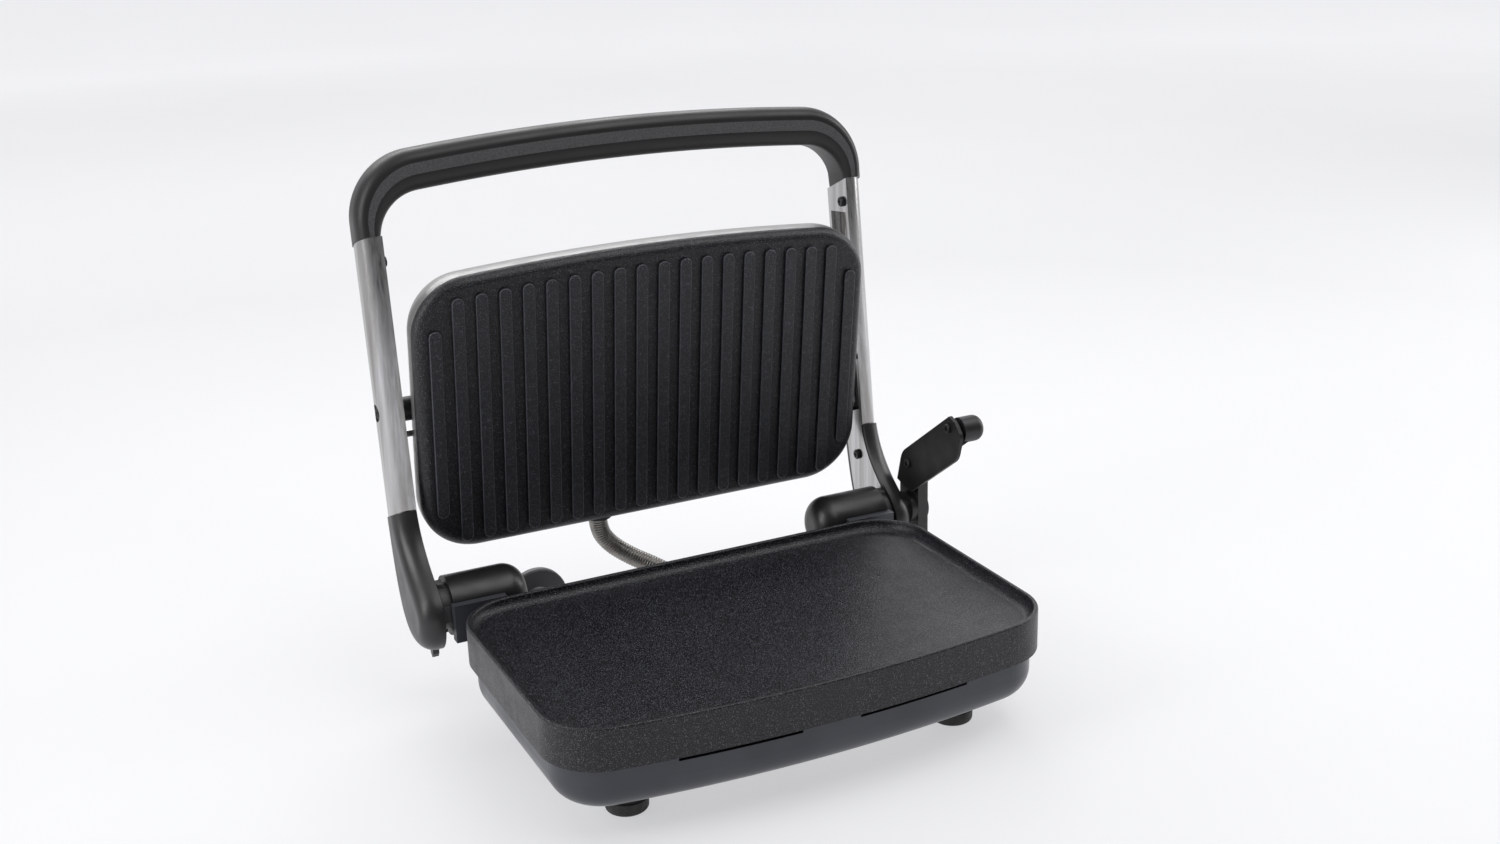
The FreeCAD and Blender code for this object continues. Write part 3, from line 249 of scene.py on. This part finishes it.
black_steel = finish("blackened_steel", (0.035, 0.035, 0.037), 0.35, 0.6)
gloss(black_steel, noise(black_steel, 0.002), 0.3, 0.45)
dress(black_steel, "arm_screws_left", "arm_screws_right", "lever_screws")

# ---------------------------------------------------------------- rubber feet
# Four moulded rubber feet, pressed up into the pan. Each has a rounded tread edge, a shallow
# ring round its side and a hollow middle that grips the table.


def turned(name, profile, spokes=64, along=(0, 0, 1), place=(0, 0, 0)):
    """A solid turned round an axis from (radius, height) points that start and end at radius 0."""
    points, faces, rings = [], [], []
    for radius, height in profile:
        if radius < 1e-7:
            rings.append([len(points)])
            points.append((0, 0, height))
            continue
        rings.append(list(range(len(points), len(points) + spokes)))
        for spoke in range(spokes):
            angle = 2 * math.pi * spoke / spokes
            points.append((radius * math.cos(angle), radius * math.sin(angle), height))
    for lower, upper in zip(rings, rings[1:]):
        for spoke in range(spokes):
            following = (spoke + 1) % spokes
            if len(lower) == 1:
                faces.append((lower[0], upper[following], upper[spoke]))
            elif len(upper) == 1:
                faces.append((lower[spoke], lower[following], upper[0]))
            else:
                faces.append((lower[spoke], lower[following], upper[following], upper[spoke]))
    mesh = bpy.data.meshes.new(name)
    mesh.from_pydata(points, [], faces)
    mesh.transform(Vector((0, 0, 1)).rotation_difference(Vector(along)).to_matrix().to_4x4())
    mesh.transform(Matrix.Translation(place))
    mesh.update()
    piece = bpy.data.objects.new(name, mesh)
    bpy.context.scene.collection.objects.link(piece)
    return piece


def smooth(piece, crease=35.0):
    """Shade a piece smoothly, keeping edges sharper than crease degrees."""
    mesh = piece.data
    mesh.shade_smooth()
    mesh.set_sharp_from_angle(angle=math.radians(crease))


def corner(centre, radius, start, end, steps=6):
    """Points of a rounded corner in a turned profile, from angle start to end in degrees."""
    arc = []
    for step in range(steps + 1):
        angle = math.radians(start + (end - start) * step / steps)
        arc.append((centre[0] + radius * math.cos(angle), centre[1] + radius * math.sin(angle)))
    return arc


def relief(material, value, height, strength=1.0):
    """Raise the surface by up to height metres with the noise."""
    tree = material.node_tree
    bump = tree.nodes.new("ShaderNodeBump")
    bump.inputs["Distance"].default_value = height
    bump.inputs["Strength"].default_value = strength
    tree.links.new(value, bump.inputs["Height"])
    tree.links.new(bump.outputs["Normal"], tree.nodes["Principled BSDF"].inputs["Normal"])


rubber = finish("black_rubber", (0.018, 0.018, 0.018), 0.6)
relief(rubber, noise(rubber, 0.0008), 0.00008, 0.5)
gloss(rubber, noise(rubber, 0.004), 0.5, 0.7)
TREAD, HOLLOW, LIP = 0.0022, 0.0012, 0.001
GROOVE, GROOVE_LIP, TOP_LIP = 0.0014, 0.0004, 0.0002
TREAD_DRAFT = 0.0005
for foot in ("foot_front_left", "foot_front_right", "foot_rear_left", "foot_rear_right"):
    low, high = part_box(foot)
    radius = (high.x - low.x) / 2
    tall = high.z - low.z
    profile = [(0, HOLLOW), (radius * 0.5, HOLLOW)]
    profile += corner((radius * 0.5 + LIP, LIP), LIP, 170, 270, 3)
    profile += corner((radius - TREAD_DRAFT - TREAD, TREAD), TREAD, -90, 0)
    profile += [(radius - GROOVE_LIP, tall * 0.42), (radius - GROOVE, tall * 0.46),
                (radius - GROOVE, tall * 0.54), (radius - TOP_LIP, tall * 0.58),
                (radius, tall), (0, tall)]
    piece = turned(foot + "_rubber", profile, place=((low.x + high.x) / 2, (low.y + high.y) / 2, low.z))
    smooth(piece)
    piece.data.materials.append(rubber)
    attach(piece, "base")
    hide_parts(foot)

# ---------------------------------------------------------------- base housing
# One deep-drawn shell in satin dark metallic enamel, with two vents under the skirt and a
# bracket ear at each back corner.

enamel = finish("dark_enamel", (0.05, 0.053, 0.06), 0.34, 0.35)
tint(enamel, noise(enamel, 0.03, detail=4), (0.05, 0.053, 0.063), (0.06, 0.064, 0.075))
gloss(enamel, noise(enamel, 0.02, detail=5), 0.28, 0.36)
relief(enamel, noise(enamel, 0.004), 0.00002, 0.3)
dress(enamel, "base_housing")

# ---------------------------------------------------------------- inside the base and the lid
# A tubular element, a rolled reflector and a bimetal thermostat lie under each plate, and the
# leads meet at a terminal block.

element_steel = finish("heat_darkened_steel", (0.3, 0.27, 0.24), 0.4, 1.0)
tint(element_steel, noise(element_steel, 0.02), (0.2, 0.17, 0.15), (0.42, 0.38, 0.34))
dress(element_steel, "lower_element", "upper_element")
rolled = finish("rolled_aluminium", (0.8, 0.8, 0.8), 0.25, 1.0)
gloss(rolled, noise(rolled, 0.004, (8, 1, 1)), 0.2, 0.35)
dress(rolled, "lower_reflector", "upper_reflector")
bimetal = finish("thermostat_steel", (0.55, 0.52, 0.48), 0.35, 1.0)
gloss(bimetal, noise(bimetal, 0.003), 0.3, 0.45)
dress(bimetal, "lower_thermostat", "upper_thermostat")
ivory = finish("terminal_plastic", (0.75, 0.72, 0.65), 0.5)
gloss(ivory, noise(ivory, 0.003), 0.45, 0.55)
dress(ivory, "terminal_block")

# ---------------------------------------------------------------- lower plate
# A die-cast aluminium tray with a deep skirt, sprayed with dark non-stick coating that holds
# a fine light fleck. The tray floor is flat, with a soft fillet up to the rim.

PEBBLE, FLECK = 0.0008, 0.0006


def non_stick(name, colour, fleck, roughness):
    """Sprayed coating: dark, finely pebbled, with small light flecks in it."""
    material = finish(name, colour, sum(roughness) / 2)
    tint(material, noise(material, FLECK, detail=1.0), colour, fleck, 0.57, 0.68)
    gloss(material, noise(material, 0.012, detail=5), *roughness)
    relief(material, noise(material, PEBBLE, detail=2), 0.00036, 0.9)
    material.node_tree.nodes["Principled BSDF"].inputs["Specular IOR Level"].default_value = 0.4
    return material


tray_coating = non_stick("tray_non_stick", (0.005, 0.005, 0.006), (0.1, 0.105, 0.125), (0.34, 0.42))
dress(tray_coating, "lower_plate")

# ---------------------------------------------------------------- glands, inlet and bobbin
# Screwed plastic bushes guide the conduit and the lead through the steel. One moulded bobbin
# with a rolled rim stands out behind the base on a short stem.

black_plastic = finish("moulded_black_plastic", (0.016, 0.016, 0.017), 0.42)
relief(black_plastic, noise(black_plastic, 0.0006), 0.00004, 0.5)
gloss(black_plastic, noise(black_plastic, 0.02), 0.38, 0.48)
dress(black_plastic, "conduit_gland_lower", "conduit_gland_upper", "mains_inlet", "pivot_sleeve_left",
      "pivot_sleeve_right")

bobbin_grey = finish("bobbin_grey", (0.075, 0.075, 0.078), 0.4)
relief(bobbin_grey, noise(bobbin_grey, 0.0006), 0.00004, 0.5)
gloss(bobbin_grey, noise(bobbin_grey, 0.01), 0.36, 0.46)
low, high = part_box("lead_bobbin")
disc_radius = (high.x - low.x) / 2
disc_middle = high.z - disc_radius
STEM, DISC, NECK = 0.0065, 0.006, 0.002
ROLL, RIM, RECESS_EDGE, RECESS = 0.0016, 0.0036, 0.0046, 0.0022
reach = high.y - low.y
profile = [(0, 0), (STEM, 0), (STEM, reach - DISC - NECK)]
profile += [(STEM + NECK, reach - DISC), (disc_radius - ROLL, reach - DISC)]
profile += corner((disc_radius - ROLL, reach - DISC + ROLL), ROLL, -90, 0, 4)
profile += corner((disc_radius - ROLL, reach - ROLL), ROLL, 0, 90, 4)
profile += [(disc_radius - RIM, reach), (disc_radius - RECESS_EDGE, reach - ROLL), (0, reach - RECESS)]
bobbin = turned("lead_bobbin_moulding", profile, along=(0, 1, 0),
                place=((low.x + high.x) / 2, low.y, disc_middle))
smooth(bobbin, 30)
bobbin.data.materials.append(bobbin_grey)
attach(bobbin, "base")
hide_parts("lead_bobbin")

# ---------------------------------------------------------------- hinge barrels
# Each barrel is a satin black moulding with a domed end, clipped over its bracket ear. Inside,
# an oiled torsion spring winds round the axle, and a dark collar spaces the arm.

barrel_black = finish("barrel_black", (0.008, 0.008, 0.0085), 0.36)
gloss(barrel_black, noise(barrel_black, 0.015, detail=4), 0.32, 0.42)
relief(barrel_black, noise(barrel_black, 0.0005), 0.00002, 0.4)
dress(barrel_black, "hinge_barrel_left", "hinge_barrel_right")
spring_steel = finish("spring_steel", (0.35, 0.35, 0.34), 0.3, 1.0)
gloss(spring_steel, noise(spring_steel, 0.003), 0.25, 0.4)
dress(spring_steel, "hinge_spring_left", "hinge_spring_right")
collar_grey = finish("collar_grey", (0.05, 0.05, 0.052), 0.45)
gloss(collar_grey, noise(collar_grey, 0.005), 0.4, 0.5)
dress(collar_grey, "hinge_collar_left", "hinge_collar_right")

# ---------------------------------------------------------------- arms
# Two aluminium castings, polished along their length, so that their shine breaks into long soft
# streaks. A satin black moulding covers the foot of each and carries its stop tooth.

polished = finish("polished_aluminium", (0.78, 0.775, 0.765), 0.2, 1.0)
tint(polished, noise(polished, 0.006, (1, 1, 60), detail=2), (0.33, 0.32, 0.31), (0.5, 0.5, 0.51),
     0.34, 0.66)
gloss(polished, noise(polished, 0.0012, (1, 1, 90), detail=3), 0.12, 0.26, 0.3, 0.7)
relief(polished, noise(polished, 0.004, (1, 1, 60)), 0.00006, 0.5)
dress(polished, "arm_left", "arm_right")

cover_black = finish("cover_black", (0.018, 0.018, 0.019), 0.36)
gloss(cover_black, noise(cover_black, 0.02, detail=4), 0.32, 0.42)
relief(cover_black, noise(cover_black, 0.0006), 0.00003, 0.4)
dress(cover_black, "arm_cover_left", "arm_cover_right")

# ---------------------------------------------------------------- grip
# One U-shaped moulding slides over both arms. Its back and edges are smooth satin black, and a
# flat band with a fine spark-eroded texture runs along the front. The band is painted lighter than the
# rest. Part of that comes from its texture and part is painted light for the light on its flat front
# face.

HINGE = Vector(frame["joints"][0]["pos_m"])
ARM_LEAN = math.radians(6.8)


def on_arm(x, back, up):
    """A point given across, behind and along the leaning arms."""
    return Vector((x, HINGE.y + back * math.cos(ARM_LEAN) + up * math.sin(ARM_LEAN),
                   HINGE.z - back * math.sin(ARM_LEAN) + up * math.cos(ARM_LEAN)))


GRIP_FRONT, GRIP_BACK = 0.0201, 0.0475
GRIP_MIDDLE = (GRIP_FRONT + GRIP_BACK) / 2
GRIP_BOW = 1.48
JOINT_UP, JOINT_SLOPE = 0.2221, math.radians(17)


def hoop_line(half, top, bend, first_angle):
    """Points (x, up) of half of a hoop: leg, corner and half of the bowed bar, leg first."""
    bow_centre = top - GRIP_BOW
    side = half - bend
    centre = bow_centre + math.sqrt((GRIP_BOW - bend) ** 2 - side ** 2)
    line = [(half, JOINT_UP)]
    last_angle = math.pi / 2 - math.asin(side / (GRIP_BOW - bend))
    for step in range(25):
        angle = first_angle + (last_angle - first_angle) * step / 24
        line.append((side + bend * math.cos(angle), centre + bend * math.sin(angle)))
    edge = line[-1][0]
    for step in range(1, 21):
        x = edge * (1 - step / 20)
        line.append((x, bow_centre + math.sqrt(GRIP_BOW ** 2 - x ** 2)))
    return line


outer_line = hoop_line(half=0.1713, top=0.281, bend=0.042, first_angle=0.0)
inner_line = hoop_line(half=0.157, top=0.256, bend=0.028, first_angle=math.radians(12))
outer_line += [(-x, up) for x, up in reversed(outer_line[:-1])]
inner_line += [(-x, up) for x, up in reversed(inner_line[:-1])]

LEG_WIDTH, BAR_WIDTH = 0.0143, 0.025
INNER_DEPTH, OUTER_DEPTH = 0.005, 0.0105
BAND_DEPTH = 0.00003


def grip_section(width):
    """(distance from the inner side, distance behind the hinge) round one section of the grip."""
    share = min(1.0, max(0.0, (width - LEG_WIDTH) / (BAR_WIDTH - LEG_WIDTH)))
    inner_round = 0.0040 + 0.0045 * share
    outer_round = 0.0066 + 0.0009 * share
    section = []
    for step in range(7):
        angle = math.radians(180 + 15 * step)
        section.append((inner_round + inner_round * math.cos(angle),
                        GRIP_FRONT + INNER_DEPTH + INNER_DEPTH * math.sin(angle)))
    flat_start, flat_end = inner_round, width - outer_round
    wall = (flat_end - flat_start) * 0.06
    depth = BAND_DEPTH * share
    section += [(flat_start + wall, GRIP_FRONT), (flat_start + 2 * wall, GRIP_FRONT + depth),
                (flat_end - 2 * wall, GRIP_FRONT + depth), (flat_end - wall, GRIP_FRONT)]
    for step in range(9):
        angle = math.radians(-90 + 11.25 * step)
        section.append((flat_end + outer_round * math.cos(angle),
                        GRIP_FRONT + OUTER_DEPTH + OUTER_DEPTH * math.sin(angle)))
    for step in range(9):
        angle = math.radians(11.25 * step)
        section.append((flat_end + outer_round * math.cos(angle),
                        GRIP_BACK - OUTER_DEPTH + OUTER_DEPTH * math.sin(angle)))
    for step in range(7):
        angle = math.radians(90 + 15 * step)
        section.append((inner_round + inner_round * math.cos(angle),
                        GRIP_BACK - INNER_DEPTH + INNER_DEPTH * math.sin(angle)))
    return section


grip_points, grip_faces, band_faces = [], [], []
for station, (outer, inner) in enumerate(zip(outer_line, inner_line)):
    outer, inner = Vector(outer), Vector(inner)
    out = (outer - inner).normalized()
    for distance, back in grip_section((outer - inner).length):
        spot = inner + out * distance
        if station in (0, len(outer_line) - 1):
            spot.y = JOINT_UP - (back - GRIP_MIDDLE) * math.tan(JOINT_SLOPE)
        grip_points.append(on_arm(spot.x, back, spot.y))
SECTION = len(grip_section(BAR_WIDTH))
BAND_STEP = 8
for station in range(len(outer_line) - 1):
    for place in range(SECTION):
        following = (place + 1) % SECTION
        first, second = station * SECTION, (station + 1) * SECTION
        grip_faces.append((first + place, first + following, second + following, second + place))
        if place == BAND_STEP:
            band_faces.append(len(grip_faces) - 1)
grip_faces.append(tuple(reversed(range(SECTION))))
grip_faces.append(tuple(range(len(grip_points) - SECTION, len(grip_points))))
grip_mesh = bpy.data.meshes.new("grip_moulding")
grip_mesh.from_pydata(grip_points, [], grip_faces)
grip_mesh.update()
grip = bpy.data.objects.new("grip_moulding", grip_mesh)
bpy.context.scene.collection.objects.link(grip)
smooth(grip, 40)

grip_black = finish("grip_satin_black", (0.016, 0.016, 0.0165), 0.4)
grip_black.node_tree.nodes["Principled BSDF"].inputs["Specular IOR Level"].default_value = 0.4
gloss(grip_black, noise(grip_black, 0.03, detail=4), 0.36, 0.45)
relief(grip_black, noise(grip_black, 0.0006), 0.00002, 0.4)
# Painted light: the band's colour is set lighter than the rest of the moulding, partly for its texture
# and partly for light falling on the flat front face.
front_band_painted_light = finish("grip_band_texture_and_painted_light", (0.05, 0.049, 0.051), 0.5)
tint(front_band_painted_light, noise(front_band_painted_light, 0.0009, detail=1), (0.055, 0.054, 0.056), (0.085, 0.083, 0.087))
relief(front_band_painted_light, noise(front_band_painted_light, 0.0007, detail=2), 0.00012, 0.7)
grip.data.materials.append(grip_black)
grip.data.materials.append(front_band_painted_light)
for face in band_faces:
    grip.data.polygons[face].material_index = 1
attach(grip, "arms")
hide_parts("grip")

# ---------------------------------------------------------------- ribbed upper plate
# The lid's plate is die-cast aluminium, sprayed like the tray, with raised round-ended ribs. A pale
# line is painted along the ribs' rounded edges at their height, a painted highlight for the light they
# catch.

rib_coating = non_stick("rib_non_stick", (0.006, 0.0062, 0.0073), (0.08, 0.084, 0.1), (0.3, 0.38))
dress(rib_coating, "upper_plate")
RIB_HEIGHT = 0.0024
rib_mesh = nodes["upper_plate"].data
outward = max(rib_mesh.polygons, key=lambda face: face.area).normal.copy()
if outward.y > 0:
    outward.negate()
rib_top = max(vertex.co.dot(outward) for vertex in rib_mesh.vertices)
rib_tree = rib_coating.node_tree
rib_place = rib_tree.nodes.new("ShaderNodeTexCoord")
rib_level = rib_tree.nodes.new("ShaderNodeVectorMath")
rib_level.operation = "DOT_PRODUCT"
rib_level.inputs[1].default_value = outward
rib_tree.links.new(rib_place.outputs["Object"], rib_level.inputs[0])
rib_share = spread(rib_coating, rib_level.outputs["Value"], 0.0, 1.0, rib_top - RIB_HEIGHT, rib_top)
# Painted highlight: the colour is lightened near the top of each rib, where its rounded edges would
# catch the light.
rib_edge_highlight = rib_tree.nodes.new("ShaderNodeValToRGB")
rib_edge_highlight.color_ramp.elements[0].position = 0.55
rib_edge_highlight.color_ramp.elements[0].color = (0.0, 0.0, 0.0, 1.0)
rib_edge_highlight.color_ramp.elements[1].color = (0.009, 0.0095, 0.011, 1.0)
for position in (0.78, 0.97):
    painted_rib_highlight = rib_edge_highlight.color_ramp.elements.new(position)
    painted_rib_highlight.color = (0.05, 0.053, 0.062, 1.0)
rib_tree.links.new(rib_share, rib_edge_highlight.inputs["Fac"])
rib_shader = rib_tree.nodes["Principled BSDF"]
rib_colour = rib_tree.nodes.new("ShaderNodeVectorMath")
rib_flecks = rib_shader.inputs["Base Color"].links[0].from_socket
rib_tree.links.new(rib_flecks, rib_colour.inputs[0])
rib_tree.links.new(rib_edge_highlight.outputs["Color"], rib_colour.inputs[1])
rib_tree.links.new(rib_colour.outputs["Vector"], rib_shader.inputs["Base Color"])

# ---------------------------------------------------------------- lid cover and lamps
# An aluminium shell in satin silver closes the lid from behind. Two small clear lenses, red for
# power and green for ready, are pushed through it.

silver = finish("satin_silver", (0.25, 0.25, 0.248), 0.38, 0.5)
gloss(silver, noise(silver, 0.01, detail=5), 0.28, 0.38)
relief(silver, noise(silver, 0.0007), 0.00002, 0.3)
dress(silver, "lid_cover")
for lamp, dark, light in (("power_lamp", (0.35, 0.01, 0.01), (0.6, 0.04, 0.03)),
                          ("ready_lamp", (0.01, 0.22, 0.03), (0.04, 0.45, 0.08))):
    lens = finish(lamp + "_lens", light, 0.12)
    tint(lens, noise(lens, 0.002), dark, light)
    dress(lens, lamp)

# ---------------------------------------------------------------- side lever
# A flat moulded paddle is screwed to a painted cast lever. The lever turns on the right axle in
# a block outside the arm, and a satin knob is fixed at its far end.

lever_black = finish("lever_black", (0.006, 0.006, 0.006), 0.55)
relief(lever_black, noise(lever_black, 0.0006), 0.00004, 0.5)
gloss(lever_black, noise(lever_black, 0.01), 0.45, 0.55)
dress(lever_black, "lever_plate")
lever_grey = finish("lever_casting", (0.022, 0.022, 0.023), 0.42)
gloss(lever_grey, noise(lever_grey, 0.008), 0.36, 0.48)
dress(lever_grey, "lever_body")
knob_grey = finish("knob_grey", (0.014, 0.014, 0.015), 0.45)
gloss(knob_grey, noise(knob_grey, 0.006), 0.38, 0.48)
dress(knob_grey, "lever_knob")

# ---------------------------------------------------------------- flexible conduit
# A hose wound from steel strip carries the leads from the base to the lid. It is one smooth
# line, made in two halves.

HOSE_ROUTE = [(0.018, 0.0826, 0.023), (0.018, 0.112, 0.023), (0.016, 0.138, 0.0238),
              (0.002, 0.150, 0.0315), (-0.0115, 0.158, 0.0385), (-0.0235, 0.1655, 0.0475),
              (-0.0305, 0.1672, 0.060), (-0.031, 0.1640, 0.0775)]
HOSE_RADIUS = 0.0062
RING, SPOKES, GLAND_RINGS = 0.0018, 32, 5
guide_curve = bpy.data.curves.new("hose_guide", "CURVE")
guide_curve.dimensions = "3D"
guide_curve.resolution_u = 40
spline = guide_curve.splines.new("NURBS")
spline.points.add(len(HOSE_ROUTE) - 1)
for point, spot in zip(spline.points, HOSE_ROUTE):
    point.co = (*spot, 1.0)
spline.order_u = 3
spline.use_endpoint_u = True
guide = bpy.data.objects.new("hose_guide", guide_curve)
bpy.context.scene.collection.objects.link(guide)
bpy.context.view_layer.update()
guide_mesh = bpy.data.meshes.new_from_object(guide)
line = [vertex.co.copy() for vertex in guide_mesh.vertices]
bpy.data.objects.remove(guide)


def along(points, distances):
    """Points and directions on a polyline at the given distances from its start."""
    found = []
    walked, index = 0.0, 0
    for distance in distances:
        while index < len(points) - 2 and walked + (points[index + 1] - points[index]).length < distance:
            walked += (points[index + 1] - points[index]).length
            index += 1
        step = points[index + 1] - points[index]
        found.append((points[index] + step.normalized() * (distance - walked), step.normalized()))
    return found


hose_length = sum((b - a).length for a, b in zip(line, line[1:]))
PROFILE = ((0.0, 0.955), (0.15, 0.99), (0.4, 1.0), (0.65, 0.99), (0.8, 0.955))
rings = round(hose_length / RING)
stations, radii = [], []
for ring in range(rings):
    for part, factor in PROFILE:
        stations.append((ring + part) * hose_length / rings)
        radii.append(HOSE_RADIUS * factor)
placed = along(line, stations)
half = (rings // 2 + 2) * len(PROFILE)

strip_steel = finish("wound_steel_strip", (0.52, 0.48, 0.44), 0.3, 1.0)
tint(strip_steel, noise(strip_steel, 0.006, detail=3), (0.2, 0.188, 0.177), (0.28, 0.266, 0.252))
gloss(strip_steel, noise(strip_steel, 0.004), 0.26, 0.38)


def hose(name, first, last, node):
    """The ringed hose from station first to station last."""
    points, faces = [], []
    side = Vector((0, 0, 1))
    for (spot, heading), radius in zip(placed[first:last], radii[first:last]):
        side = (side - heading * side.dot(heading)).normalized()
        across = heading.cross(side)
        for spoke in range(SPOKES):
            angle = 2 * math.pi * spoke / SPOKES
            points.append(spot + side * (radius * math.cos(angle)) + across * (radius * math.sin(angle)))
    for ring in range(last - first - 1):
        for spoke in range(SPOKES):
            following = (spoke + 1) % SPOKES
            faces.append((ring * SPOKES + spoke, ring * SPOKES + following,
                          (ring + 1) * SPOKES + following, (ring + 1) * SPOKES + spoke))
    faces.append(tuple(reversed(range(SPOKES))))
    faces.append(tuple(range(len(points) - SPOKES, len(points))))
    mesh = bpy.data.meshes.new(name)
    mesh.from_pydata(points, [], faces)
    mesh.update()
    piece = bpy.data.objects.new(name, mesh)
    bpy.context.scene.collection.objects.link(piece)
    smooth(piece, 50)
    piece.data.materials.append(strip_steel)
    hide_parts(node)
    return piece


lower_hose = hose("hose_lower", 0, half, "conduit_lower")
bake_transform(lower_hose)
upper_hose = hose("hose_upper", half - 1, len(placed), "conduit_upper")
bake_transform(upper_hose)
